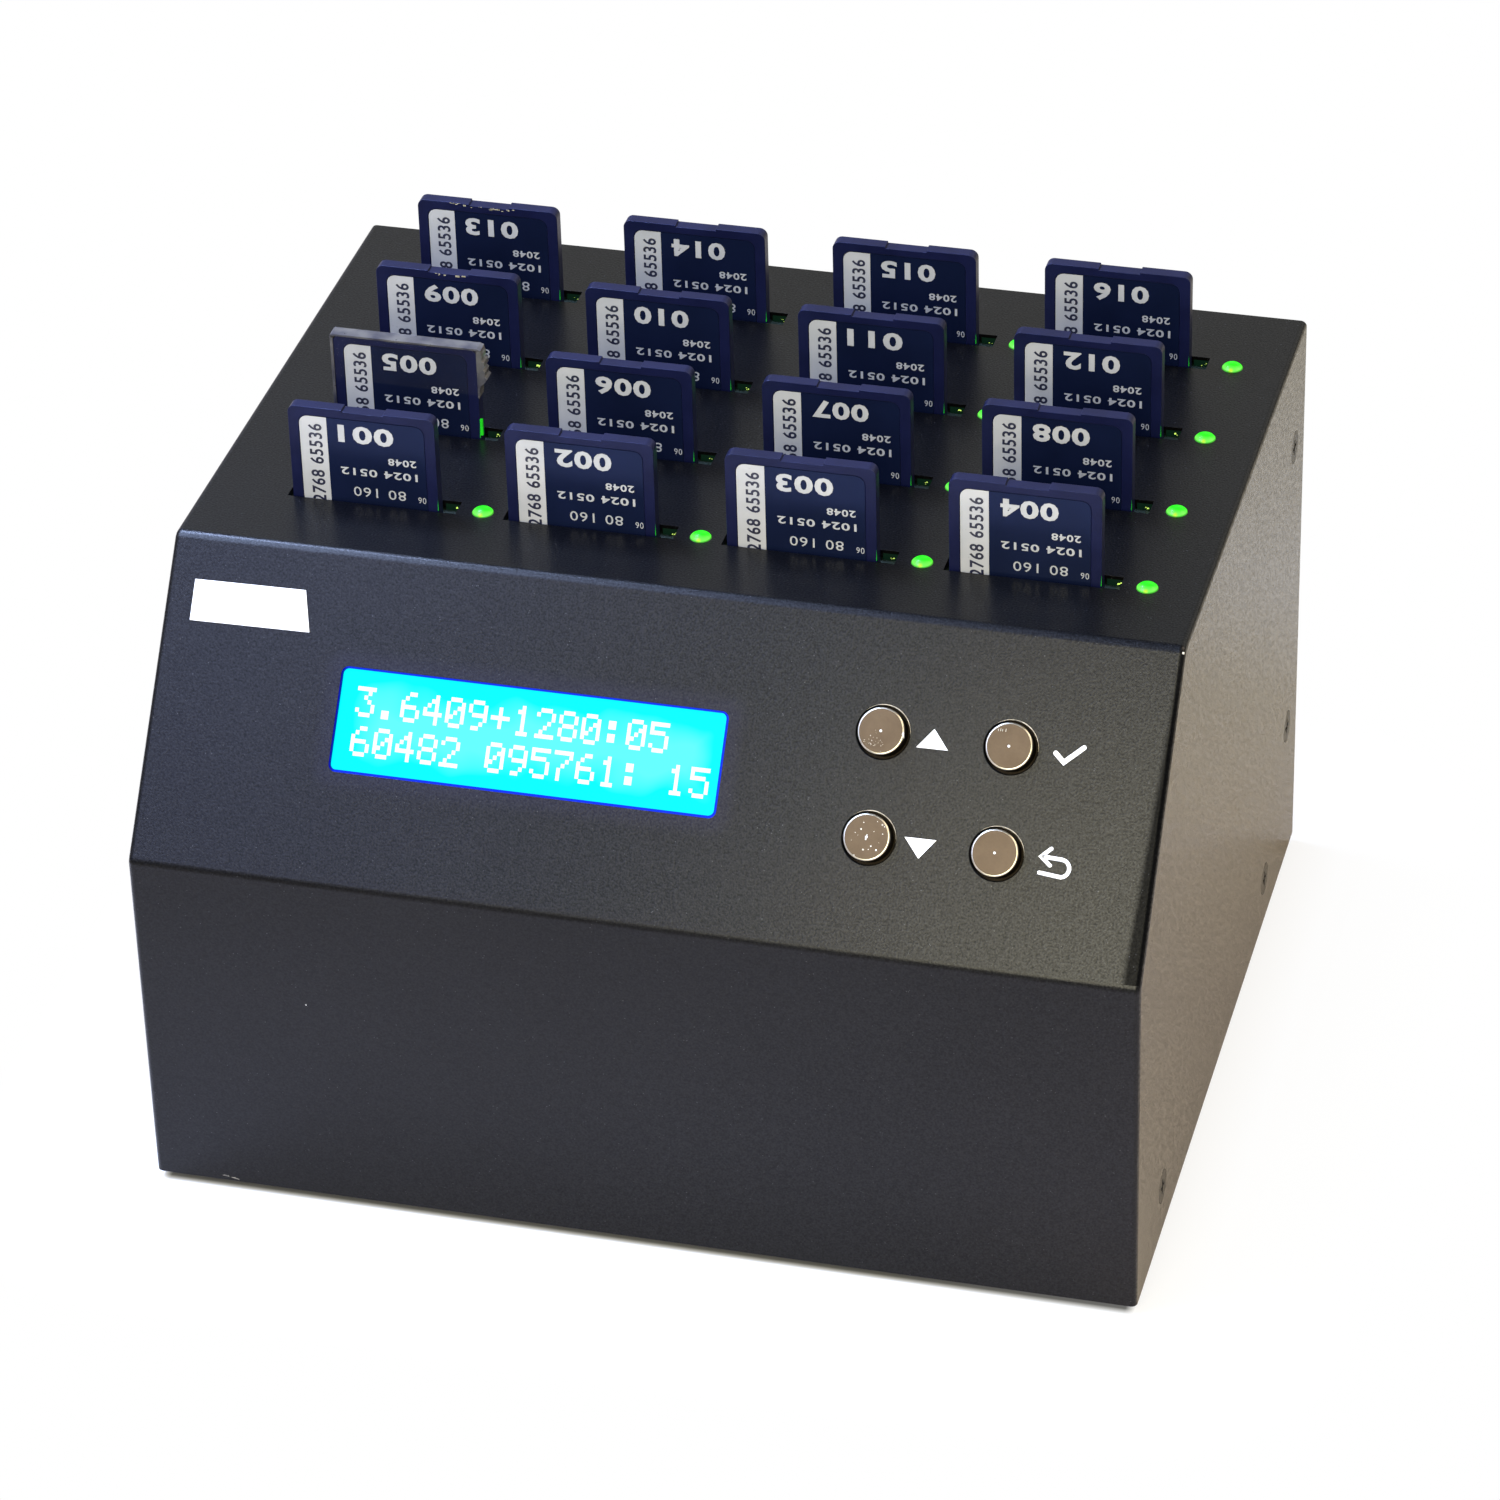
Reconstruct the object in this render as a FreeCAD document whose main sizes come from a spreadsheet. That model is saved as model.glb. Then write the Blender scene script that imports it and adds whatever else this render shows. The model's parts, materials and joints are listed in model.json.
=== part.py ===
import FreeCAD, Part
import math
import os
import Sketcher

# Counts of like pieces
COLUMNS = 4
ROWS = 4
FAN_BLADES = 7
SINK_FINS = 7
VENT_RINGS = 3
INTAKE_SLOTS = 9
CONTACT_PADS = 9

# Driving sizes in millimetres and degrees. Heights run up from the cover's lower edge,
# depths run back from its front face, and panel places run up the slope from its lower edge.
SIZES = {
    # Folded steel cover
    "case_width": 161.0,
    "case_depth": 135.0,
    "case_height": 101.3,
    "front_height": 60.3,
    "slope_depth": 32.5,
    "cover_gauge": 1.2,
    "bend_radius": 2.0,
    "edge_radius": 1.0,
    # Folded steel chassis inside the cover
    "chassis_gauge": 1.2,
    "cover_gap": 0.3,
    "rear_inset": 1.0,
    "side_flange": 14.0,
    "lip_height": 8.0,
    "bend_relief": 1.0,
    # Stick-on rubber feet
    "foot_height": 1.6,
    "foot_diameter": 12.0,
    "foot_inset": 14.0,
    "foot_taper": 0.8,
    # Countersunk screws that join cover and chassis
    "screw_diameter": 3.0,
    "screw_head": 5.5,
    "screw_length": 6.0,
    "screw_play": 0.2,
    "screw_low": 8.6,
    "screw_front": 20.2,
    "screw_back": 107.6,
    "screw_rear_margin": 8.7,
    "screw_rear_low": 27.4,
    "screw_rear_high": 82.3,
    "recess_length": 2.8,
    "recess_width": 0.6,
    "recess_depth": 0.9,
    # Memory cards, four columns by four rows
    "card_width": 24.0,
    "card_length": 32.0,
    "card_thickness": 2.1,
    "card_proud": 16.3,
    "card_corner": 1.3,
    "card_cut": 4.0,
    "card_label_side": 1.7,
    "card_label_top": 1.5,
    "card_label_depth": 0.15,
    "card_label_corner": 1.5,
    "card_notch_height": 4.0,
    "card_notch_depth": 0.9,
    "card_notch_up": 7.0,
    "contact_length": 4.0,
    "contact_width": 1.6,
    "contact_pitch": 2.5,
    "contact_depth": 0.2,
    "card_grip_left": 3.1,
    "card_grip_right": 3.7,
    "card_grip_depth": 0.3,
    "column_pitch": 35.4,
    "columns_left_share": 0.639,
    "first_row_set_back": 15.65,
    "last_row_margin": 17.55,
    # Slots in the cover over the card sockets
    "slot_length": 27.6,
    "slot_width": 3.8,
    "slot_shift": 1.0,
    "slot_set_back": 0.35,
    # Card sockets
    "socket_width": 29.4,
    "socket_depth": 6.4,
    "socket_floor": 1.5,
    "socket_gap": 0.5,
    "socket_mouth_depth": 5.0,
    "card_side_play": 0.25,
    "card_face_play": 0.15,
    "card_seat_gap": 0.05,
    # Light pipes over the status lamps
    "pipe_shift": 18.9,
    "pipe_diameter": 3.4,
    "pipe_dome": 1.1,
    "pipe_play": 0.05,
    "pipe_lamp_gap": 0.2,
    "lamp_length": 2.0,
    "lamp_width": 1.3,
    "lamp_height": 0.8,
    # Circuit boards and the posts and screws that carry them
    "board_thickness": 1.6,
    "slot_board_side_gap": 0.5,
    "slot_board_overhang": 7.0,
    "post_diameter": 5.0,
    "post_inset": 9.0,
    "board_screw_diameter": 2.5,
    "board_screw_head": 4.6,
    "pan_head_height": 1.7,
    "board_screw_length": 4.6,
    "board_screw_play": 0.15,
    "post_bore_spare": 1.0,
    # Character display behind the sloped panel
    "window_width": 62.2,
    "window_height": 16.6,
    "window_corner": 1.2,
    "window_across": -19.2,
    "window_up": 26.2,
    "display_gap": 0.3,
    "bezel_length": 71.2,
    "bezel_width": 25.2,
    "bezel_depth": 5.7,
    "bezel_wall": 0.5,
    "bezel_rim": 3.2,
    "glass_thickness": 2.2,
    "glass_play": 0.2,
    "display_board_margin": 4.4,
    "display_board_lip": 5.4,
    "display_hole_inset": 2.5,
    # Push buttons on the sloped panel
    "button_across": 46.0,
    "button_up": 26.1,
    "button_pitch_across": 19.9,
    "button_pitch_up": 16.3,
    "button_hole": 8.6,
    "cap_diameter": 7.3,
    "cap_proud": 1.8,
    "cap_chamfer": 0.2,
    "cap_flange": 9.8,
    "cap_flange_thickness": 0.8,
    "cap_gap": 0.3,
    "pip_diameter": 0.6,
    "pip_depth": 0.15,
    "stem_diameter": 3.4,
    "stem_engagement": 1.2,
    "stem_play": 0.1,
    "button_travel": 0.5,
    "switch_side": 6.2,
    "switch_height": 3.6,
    "button_board_margin_across": 12.0,
    "button_board_margin_up": 10.0,
    "button_board_hole_inset": 3.2,
    "panel_board_gap": 3.25,
    # Blank label on the sloped panel
    "label_width": 18.9,
    "label_height": 6.5,
    "label_thickness": 0.15,
    "label_side_margin": 13.7,
    "label_up": 42.0,
    # Controller board on the chassis floor
    "controller_length": 112.0,
    "controller_width": 76.0,
    "controller_across": -8.0,
    "controller_front": 30.0,
    "controller_lift": 6.0,
    "controller_hole_inset": 4.0,
    "chip_side": 24.0,
    "chip_height": 2.0,
    "sink_side": 30.0,
    "sink_base": 3.0,
    "sink_height": 12.0,
    "fin_thickness": 1.4,
    # Ribbon cables and the headers that hold their ends
    "header_length": 52.0,
    "header_width": 5.0,
    "header_height": 6.0,
    "header_wall": 1.3,
    "header_inset": 8.0,
    "display_header_length": 24.0,
    "ribbon_thickness": 1.0,
    "ribbon_play": 0.8,
    "ribbon_slit_play": 0.1,
    "ribbon_bend": 3.0,
    # Insulated leads
    "lead_diameter": 1.8,
    "lead_bend": 5.0,
    "lead_inset": 10.0,
    "lead_spread": 2.0,
    "lead_loop": 12.0,
    # Power inlet on the rear plate
    "jack_side_margin": 22.5,
    "jack_up": 24.0,
    "jack_flange": 11.5,
    "jack_flange_thickness": 2.0,
    "jack_barrel": 8.0,
    "jack_length": 13.0,
    "jack_bore": 5.6,
    "jack_bore_depth": 9.5,
    "jack_pin": 2.0,
    "jack_pin_set_back": 1.0,
    "jack_play": 0.1,
    "nut_flats": 10.6,
    "nut_thickness": 2.4,
    # Power switch on the rear plate
    "power_side_margin": 48.5,
    "power_up": 26.0,
    "power_bezel_width": 15.0,
    "power_bezel_height": 21.0,
    "power_bezel_thickness": 2.0,
    "power_body_width": 12.8,
    "power_body_height": 18.6,
    "power_body_depth": 14.0,
    "power_cutout_play": 0.1,
    "rocker_width": 9.6,
    "rocker_half_length": 7.0,
    "rocker_end_height": 5.0,
    "rocker_middle_height": 4.2,
    "rocker_edge_height": 3.5,
    "rocker_root_half": 3.2,
    "rocker_root_depth": 2.0,
    "rocker_pivot_depth": 3.7,
    "rocker_pin": 2.0,
    "rocker_pin_length": 0.9,
    "rocker_pin_play": 0.06,
    "rocker_play": 0.3,
    "rocker_swing": 20.0,
    # Fan behind the rear plate
    "fan_side_margin": 42.5,
    "fan_up": 47.0,
    "fan_side": 40.0,
    "fan_depth": 10.0,
    "fan_bore": 38.0,
    "fan_corner": 3.0,
    "fan_hole_pitch": 32.0,
    "fan_hub": 19.0,
    "fan_hub_plate": 1.6,
    "fan_strut_width": 3.0,
    "fan_tip_play": 0.6,
    "fan_end_play": 0.5,
    "fan_shaft": 3.0,
    "fan_shaft_play": 0.05,
    "blade_thickness": 1.0,
    "blade_chord": 8.0,
    "blade_pitch": 38.0,
    "fan_screw_length": 9.0,
    # Vents in the chassis
    "vent_hole": 3.2,
    "vent_ring_pitch": 5.4,
    "intake_length": 34.0,
    "intake_width": 2.6,
    "intake_pitch": 7.0,
    "intake_front": 12.0,
}


class Size:
    """A number together with the expression that ties it to the sheet."""

    def __init__(self, value, text):
        self.value = value
        self.text = text

    def __add__(self, other):
        other = as_size(other)
        return Size(self.value + other.value, f"({self.text} + {other.text})")

    def __sub__(self, other):
        other = as_size(other)
        return Size(self.value - other.value, f"({self.text} - {other.text})")

    def __mul__(self, other):
        other = as_size(other)
        return Size(self.value * other.value, f"({self.text} * {other.text})")

    def __truediv__(self, other):
        other = as_size(other)
        return Size(self.value / other.value, f"({self.text} / {other.text})")

    def __neg__(self):
        return Size(-self.value, f"(0 - {self.text})")

    def __rmul__(self, other):
        return as_size(other) * self

    def __radd__(self, other):
        return as_size(other) + self

    def __rsub__(self, other):
        return as_size(other) - self


def as_size(item):
    """A plain number counts as a size of its own."""
    if isinstance(item, Size):
        return item
    return Size(float(item), f"({float(item):.6f})")


def sine(angle):
    return Size(math.sin(math.radians(angle.value)), f"sin({angle.text} * 1 deg)")


def cosine(angle):
    return Size(math.cos(math.radians(angle.value)), f"cos({angle.text} * 1 deg)")


def tangent(angle):
    return Size(math.tan(math.radians(angle.value)), f"tan({angle.text} * 1 deg)")


def diagonal(a, b):
    return Size(math.hypot(a.value, b.value), f"hypot({a.text}; {b.text})")


doc = FreeCAD.newDocument("CardDuplicator")
sheet = doc.addObject("Spreadsheet::Sheet", "Sizes")
driving = {}
for line, (alias, number) in enumerate(SIZES.items(), start=1):
    sheet.set(f"A{line}", alias)
    sheet.set(f"B{line}", str(number))
    sheet.setAlias(f"B{line}", alias)
    driving[alias] = Size(number, f"Sizes.{alias}")
doc.recompute()

nodes = []


def size(alias):
    """The driving size of that name."""
    return driving[alias]


def bind(item, **sizes):
    """Tie properties of an object to sizes."""
    for name, value in sizes.items():
        item.setExpression(name, as_size(value).text)


def place(item, x=0, y=0, z=0):
    """Tie an object's place to sizes."""
    for axis, value in zip("xyz", (x, y, z)):
        item.setExpression(f"Placement.Base.{axis}", as_size(value).text)
    return item


def turn(item, axis, angle):
    """Turn an object about an axis by a tied angle."""
    angle = as_size(angle)
    rotation = FreeCAD.Rotation(FreeCAD.Vector(axis), angle.value)
    item.Placement = FreeCAD.Placement(FreeCAD.Vector(), rotation)
    item.setExpression("Placement.Rotation.Angle", angle.text)
    return item


def node(label, item):
    """Name a finished sub-part; its label names its file."""
    item.Label = label
    nodes.append(item)
    return item


# Places that several pieces share

panel_rise = size("case_height") - size("front_height")
panel_angle = Size(
    math.degrees(math.atan2(panel_rise.value, size("slope_depth").value)),
    f"(atan2({panel_rise.text}; {size('slope_depth').text}) / 1 deg)",
)
rocker_lean = size("rocker_swing") / 2
rocker_corner_reach = (
    size("rocker_end_height") * cosine(rocker_lean) + size("rocker_half_length") * sine(rocker_lean)
)
rear_reach = (
    size("power_bezel_thickness") - size("rocker_pivot_depth") + rocker_corner_reach - size("rear_inset")
)
case_front = -(size("case_depth") + rear_reach) / 2
half_width = size("case_width") / 2
inner_half = half_width - size("cover_gauge")
inner_top = size("case_height") - size("cover_gauge")
chassis_half = inner_half - size("cover_gap")
rear_face = size("case_depth") - size("rear_inset")
rear_inside = rear_face - size("chassis_gauge")
card_bottom = size("case_height") - size("card_length") + size("card_proud")
slot_board_top = card_bottom - size("card_seat_gap") - size("socket_floor")
slot_board_half = chassis_half - size("chassis_gauge") - size("slot_board_side_gap")
first_socket_reach = size("socket_width") / 2 - size("slot_shift")
last_pipe_reach = size("pipe_shift") + size("pipe_diameter") / 2
columns_span = first_socket_reach + size("column_pitch") * (COLUMNS - 1) + last_pipe_reach
columns_left = (size("case_width") - columns_span) * size("columns_left_share")
first_column = columns_left + first_socket_reach - half_width
first_row = size("slope_depth") + size("first_row_set_back")
last_row = size("case_depth") - size("last_row_margin")
row_pitch = (last_row - first_row) / (ROWS - 1)
fan_across = size("fan_side_margin") - half_width
power_across = half_width - size("power_side_margin")
jack_across = half_width - size("jack_side_margin")
panel_post_length = size("display_gap") + size("bezel_depth")
panel_board_top = -(size("cover_gauge") + panel_post_length)


def in_case(item, x=0, y=0, z=0):
    """Place an object by its distances from the middle of the cover's lower front edge."""
    return place(item, x, case_front + y, size("foot_height") + z)


def on_panel(item, across=0, up=0, out=0):
    """Place an object on the sloped panel, and lean it with the panel."""
    up = as_size(up)
    out = as_size(out)
    turn(item, (1, 0, 0), panel_angle)
    y = up * cosine(panel_angle) - out * sine(panel_angle)
    z = size("front_height") + up * sine(panel_angle) + out * cosine(panel_angle)
    return in_case(item, across, y, z)


# Solids from plain primitives, each by its lowest corner or its base centre


def block(name, length, width, height, x=0, y=0, z=0):
    item = doc.addObject("Part::Box", name)
    bind(item, Length=length, Width=width, Height=height)
    return place(item, x, y, z)


def middle_block(name, length, width, height, x=0, y=0, z=0):
    """A box centred across x and y, standing on z."""
    return block(name, length, width, height, x - as_size(length) / 2, y - as_size(width) / 2, z)


def rod(name, diameter, height, x=0, y=0, z=0):
    item = doc.addObject("Part::Cylinder", name)
    bind(item, Radius=as_size(diameter) / 2, Height=height)
    return place(item, x, y, z)


def cone(name, low_diameter, high_diameter, height, x=0, y=0, z=0):
    item = doc.addObject("Part::Cone", name)
    bind(item, Radius1=as_size(low_diameter) / 2, Radius2=as_size(high_diameter) / 2, Height=height)
    return place(item, x, y, z)


def fuse(name, pieces):
    item = doc.addObject("Part::MultiFuse", name)
    item.Shapes = pieces
    return item


def cut(name, base, tools):
    """Take the tools out of the base."""
    tool = tools[0] if len(tools) == 1 else fuse(name + "_tools", tools)
    item = doc.addObject("Part::Cut", name)
    item.Base = base
    item.Tool = tool
    return item


def group(label, pieces):
    """One sub-part that holds like pieces as separate solids."""
    item = doc.addObject("Part::Compound", label)
    item.Links = pieces
    return node(label, item)


# Bodies from sketches


def new_body(label):
    item = doc.addObject("PartDesign::Body", label)
    doc.recompute()
    return node(label, item)


def datum_of(body, role):
    return next(item for item in body.Origin.OriginFeatures if item.Role == role)


def sketch_on(body, name, role, out=0, up=0, lean=0):
    """A sketch on a plane of its own body, moved out along its normal, or raised and leaned about X."""
    item = body.newObject("Sketcher::SketchObject", name)
    item.AttachmentSupport = [(datum_of(body, role), "")]
    item.MapMode = "FlatFace"
    lean = as_size(lean)
    item.AttachmentOffset = FreeCAD.Placement(
        FreeCAD.Vector(), FreeCAD.Rotation(FreeCAD.Vector(1, 0, 0), lean.value)
    )
    if lean.value:
        item.setExpression("AttachmentOffset.Rotation.Angle", lean.text)
    item.setExpression("AttachmentOffset.Base.z", (as_size(out) + as_size(up)).text)
    return item


def fix_point(sketch, geometry, position, u, v):
    """Tie a point of a sketch to its two distances from the sketch's origin."""
    for kind, value in (("DistanceX", as_size(u)), ("DistanceY", as_size(v))):
        index = sketch.addConstraint(Sketcher.Constraint(kind, -1, 1, geometry, position, value.value))
        sketch.setExpression(f"Constraints[{index}]", value.text)


def point_of(u, v):
    return FreeCAD.Vector(as_size(u).value, as_size(v).value, 0)


def outline(sketch, corners):
    """A closed outline of straight lines with every corner tied."""
    first = sketch.GeometryCount
    count = len(corners)
    for k in range(count):
        start = point_of(*corners[k])
        end = point_of(*corners[(k + 1) % count])
        sketch.addGeometry(Part.LineSegment(start, end), False)
    for k in range(count):
        sketch.addConstraint(Sketcher.Constraint("Coincident", first + k, 2, first + (k + 1) % count, 1))
        fix_point(sketch, first + k, 1, *corners[k])


def rectangle(sketch, across, up, width, height):
    """A rectangle about its centre."""
    half_w = as_size(width) / 2
    half_h = as_size(height) / 2
    outline(
        sketch,
        [
            (across - half_w, up - half_h),
            (across + half_w, up - half_h),
            (across + half_w, up + half_h),
            (across - half_w, up + half_h),
        ],
    )


def rounded_rectangle(sketch, across, up, width, height, radius):
    """A rectangle about its centre, with tangent arcs at its corners."""
    signs = [(1, -1), (1, 1), (-1, 1), (-1, -1)]
    arcs = []
    lines = []
    centres = []
    for k, (sx, sy) in enumerate(signs):
        u = across + sx * (width / 2 - radius)
        v = up + sy * (height / 2 - radius)
        centres.append((u, v))
        whole = Part.Circle(point_of(u, v), FreeCAD.Vector(0, 0, 1), radius.value)
        start = math.radians(90 * k - 90)
        arcs.append(sketch.addGeometry(Part.ArcOfCircle(whole, start, start + math.pi / 2), False))
    for k in range(4):
        a = sketch.Geometry[arcs[k]].EndPoint
        b = sketch.Geometry[arcs[(k + 1) % 4]].StartPoint
        lines.append(sketch.addGeometry(Part.LineSegment(a, b), False))
    for k in range(4):
        fix_point(sketch, arcs[k], 3, *centres[k])
        tie = sketch.addConstraint(Sketcher.Constraint("Radius", arcs[k], radius.value))
        sketch.setExpression(f"Constraints[{tie}]", radius.text)
        sketch.addConstraint(Sketcher.Constraint("Tangent", arcs[k], 2, lines[k], 1))
        sketch.addConstraint(Sketcher.Constraint("Tangent", lines[k], 2, arcs[(k + 1) % 4], 1))


def circle(sketch, across, up, diameter):
    radius = as_size(diameter) / 2
    index = sketch.addGeometry(
        Part.Circle(point_of(across, up), FreeCAD.Vector(0, 0, 1), radius.value), False
    )
    fix_point(sketch, index, 3, across, up)
    tie = sketch.addConstraint(Sketcher.Constraint("Radius", index, radius.value))
    sketch.setExpression(f"Constraints[{tie}]", radius.text)


def pad(body, name, sketch, length, both_ways=False, backwards=False):
    item = body.newObject("PartDesign::Pad", name)
    item.Profile = sketch
    item.SideType = "Symmetric" if both_ways else "One side"
    item.Reversed = backwards
    bind(item, Length=length)
    return item


def plate(label, length, width, height):
    """A flat sub-part centred across x and y, standing on z zero."""
    body = new_body(label)
    sketch = sketch_on(body, label + "_outline", "XY_Plane")
    rectangle(sketch, 0, 0, length, width)
    pad(body, label + "_sheet", sketch, height)
    return body


def pocket(body, name, sketch, length, both_ways=False, backwards=False):
    item = body.newObject("PartDesign::Pocket", name)
    item.Profile = sketch
    item.SideType = "Symmetric" if both_ways else "One side"
    item.Reversed = backwards
    bind(item, Length=length)
    return item


def repeat(body, name, feature, first, second=None):
    """Copy a feature along X, and also along a second axis where one is given."""
    item = body.newObject("PartDesign::LinearPattern", name)
    item.Originals = [feature]
    axis, count, pitch = first
    item.Direction = (datum_of(body, axis), [""])
    item.Occurrences = count
    bind(item, Length=pitch * (count - 1))
    if second:
        axis, count, pitch = second
        item.Direction2 = (datum_of(body, axis), [""])
        item.Occurrences2 = count
        bind(item, Length2=pitch * (count - 1))
    body.Tip = item
    return item


def mirror(body, name, features, role):
    item = body.newObject("PartDesign::Mirrored", name)
    item.Originals = features
    item.MirrorPlane = (datum_of(body, role), [""])
    body.Tip = item
    return item


def round_edges(body, name, feature, radius, wanted):
    """Round the edges whose middle point passes the test."""
    doc.recompute()
    names = []
    for k, edge in enumerate(feature.Shape.Edges, start=1):
        middle = edge.valueAt((edge.FirstParameter + edge.LastParameter) / 2)
        if wanted(edge, middle):
            names.append(f"Edge{k}")
    item = body.newObject("PartDesign::Fillet", name)
    item.Base = (feature, names)
    bind(item, Radius=radius)
    return item


def runs_along(edge, axis):
    """Whether an edge is straight along an axis."""
    return edge.Curve.TypeId == "Part::GeomLine" and abs(edge.Curve.Direction[axis]) > 0.999


def near(a, b):
    return abs(a - as_size(b).value) < 0.01


# Cover: one folded and welded sheet, open underneath and behind


def make_cover():
    body = new_body("top_cover")
    depth = size("case_depth")
    height = size("case_height")
    front = size("front_height")
    slope = size("slope_depth")
    gauge = size("cover_gauge")
    profile = sketch_on(body, "cover_profile", "YZ_Plane")
    outline(profile, [(0, 0), (0, front), (slope, height), (depth, height), (depth, 0)])
    shell = pad(body, "cover_solid", profile, size("case_width"), both_ways=True)
    half = size("case_width").value / 2

    def is_front_bend(edge, middle):
        at_foot = near(middle.y, 0) and near(middle.z, front)
        at_top = near(middle.y, slope) and near(middle.z, height)
        return runs_along(edge, 0) and (at_foot or at_top)

    def is_side_corner(edge, middle):
        on_side = near(abs(middle.x), half)
        return on_side and not near(middle.y, depth) and not near(middle.z, 0)

    bends = round_edges(body, "cover_bends", shell, size("bend_radius"), is_front_bend)
    round_edges(body, "cover_corners", bends, size("edge_radius"), is_side_corner)
    hollow = sketch_on(body, "cover_hollow", "YZ_Plane")
    outline(
        hollow,
        [
            (gauge, -gauge),
            (gauge, front - gauge * tangent(45 - panel_angle / 2)),
            (slope + gauge * tangent(panel_angle / 2), inner_top),
            (depth + gauge, inner_top),
            (depth + gauge, -gauge),
        ],
    )
    pocket(body, "cover_inside", hollow, 2 * inner_half, both_ways=True)
    cut_panel_openings(body)
    cut_card_slots(body)
    cut_cover_screw_holes(body)
    in_case(body)


def cut_panel_openings(body):
    """Display window and button holes through the slope."""
    through = 2 * size("cover_gauge")
    window = sketch_on(body, "window_outline", "XY_Plane", up=size("front_height"), lean=panel_angle)
    rounded_rectangle(
        window,
        size("window_across"),
        size("window_up"),
        size("window_width"),
        size("window_height"),
        size("window_corner"),
    )
    pocket(body, "window_opening", window, through)
    holes = sketch_on(body, "button_outlines", "XY_Plane", up=size("front_height"), lean=panel_angle)
    for across, up in button_places().values():
        circle(holes, across, up, size("button_hole"))
    pocket(body, "button_openings", holes, through)


def cut_card_slots(body):
    """One slot and one light-pipe hole for each card, repeated over the columns and rows."""
    through = 2 * size("cover_gauge")
    columns = ("X_Axis", COLUMNS, size("column_pitch"))
    rows = ("Y_Axis", ROWS, row_pitch)
    slot = sketch_on(body, "slot_outline", "XY_Plane", up=size("case_height"))
    across = first_column + size("slot_shift")
    back = first_row + size("slot_set_back")
    rectangle(slot, across, back, size("slot_length"), size("slot_width"))
    first_slot = pocket(body, "slot_opening", slot, through)
    repeat(body, "slot_openings", first_slot, columns, rows)
    hole = sketch_on(body, "pipe_outline", "XY_Plane", up=size("case_height"))
    hole_diameter = size("pipe_diameter") + 2 * size("pipe_play")
    circle(hole, first_column + size("pipe_shift"), first_row, hole_diameter)
    first_hole = pocket(body, "pipe_opening", hole, through)
    repeat(body, "pipe_openings", first_hole, columns, rows)


def side_screw_places():
    """Where the screws of one side sit: back from the front face, and up from the lower edge."""
    rear = size("case_depth") - size("screw_rear_margin")
    return [
        (size("screw_front"), size("screw_low")),
        (size("screw_back"), size("screw_low")),
        (rear, size("screw_rear_low")),
        (rear, size("screw_rear_high")),
    ]


def cut_cover_screw_holes(body):
    """Countersunk clearance holes, cut on the right and mirrored to the left."""
    side = sketch_on(body, "screw_outlines", "YZ_Plane", out=size("case_width") / 2)
    hole_diameter = size("screw_diameter") + 2 * size("screw_play")
    for back, up in side_screw_places():
        circle(side, back, up, hole_diameter)
    doc.recompute()
    holes = body.newObject("PartDesign::Hole", "screw_holes")
    holes.Profile = side
    holes.ThreadType = "None"
    holes.DepthType = "Dimension"
    holes.HoleCutType = "Countersink"
    bind(
        holes,
        Diameter=hole_diameter,
        Depth=2 * size("cover_gauge"),
        HoleCutDiameter=size("screw_head") + size("screw_play"),
    )
    holes.HoleCutCountersinkAngle = 90
    mirror(body, "screw_holes_left", [holes], "YZ_Plane")


# Chassis: floor, rear plate, lips and side flanges folded from one sheet


def make_chassis():
    body = new_body("base_chassis")
    gauge = size("chassis_gauge")
    front = size("cover_gauge") + size("cover_gap")
    lip = size("lip_height")
    top = inner_top - size("cover_gap")
    profile = sketch_on(body, "chassis_profile", "YZ_Plane")
    outline(
        profile,
        [
            (front, 0),
            (rear_face, 0),
            (rear_face, top),
            (rear_face - lip, top),
            (rear_face - lip, top - gauge),
            (rear_inside, top - gauge),
            (rear_inside, gauge),
            (front + gauge, gauge),
            (front + gauge, lip),
            (front, lip),
        ],
    )
    pad(body, "chassis_sheet", profile, 2 * chassis_half, both_ways=True)
    relief = size("bend_relief")
    flange = size("side_flange")
    flanges = sketch_on(body, "flange_profile", "YZ_Plane", out=chassis_half - gauge)
    outline(
        flanges,
        [
            (front + gauge + relief, 0),
            (rear_face - flange - relief, 0),
            (rear_face - flange - relief, flange),
            (front + gauge + relief, flange),
        ],
    )
    outline(
        flanges,
        [
            (rear_face - flange, gauge + relief),
            (rear_face, gauge + relief),
            (rear_face, top - gauge - relief),
            (rear_face - flange, top - gauge - relief),
        ],
    )
    right = pad(body, "right_flanges", flanges, gauge)
    mirror(body, "left_flanges", [right], "YZ_Plane")
    taps = sketch_on(body, "tap_outlines", "YZ_Plane")
    for back, up in side_screw_places():
        circle(taps, back, up, size("screw_diameter") + size("screw_play"))
    pocket(body, "tapped_holes", taps, 2 * chassis_half + gauge, both_ways=True)
    cut_rear_plate(body)
    intake = sketch_on(body, "intake_outline", "XY_Plane", up=gauge)
    first = -size("intake_pitch") * ((INTAKE_SLOTS - 1) / 2)
    back = size("intake_front") + size("intake_length") / 2
    rectangle(intake, first, back, size("intake_width"), size("intake_length"))
    slot = pocket(body, "intake_opening", intake, 2 * gauge)
    repeat(body, "intake_openings", slot, ("X_Axis", INTAKE_SLOTS, size("intake_pitch")))
    in_case(body)


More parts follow.
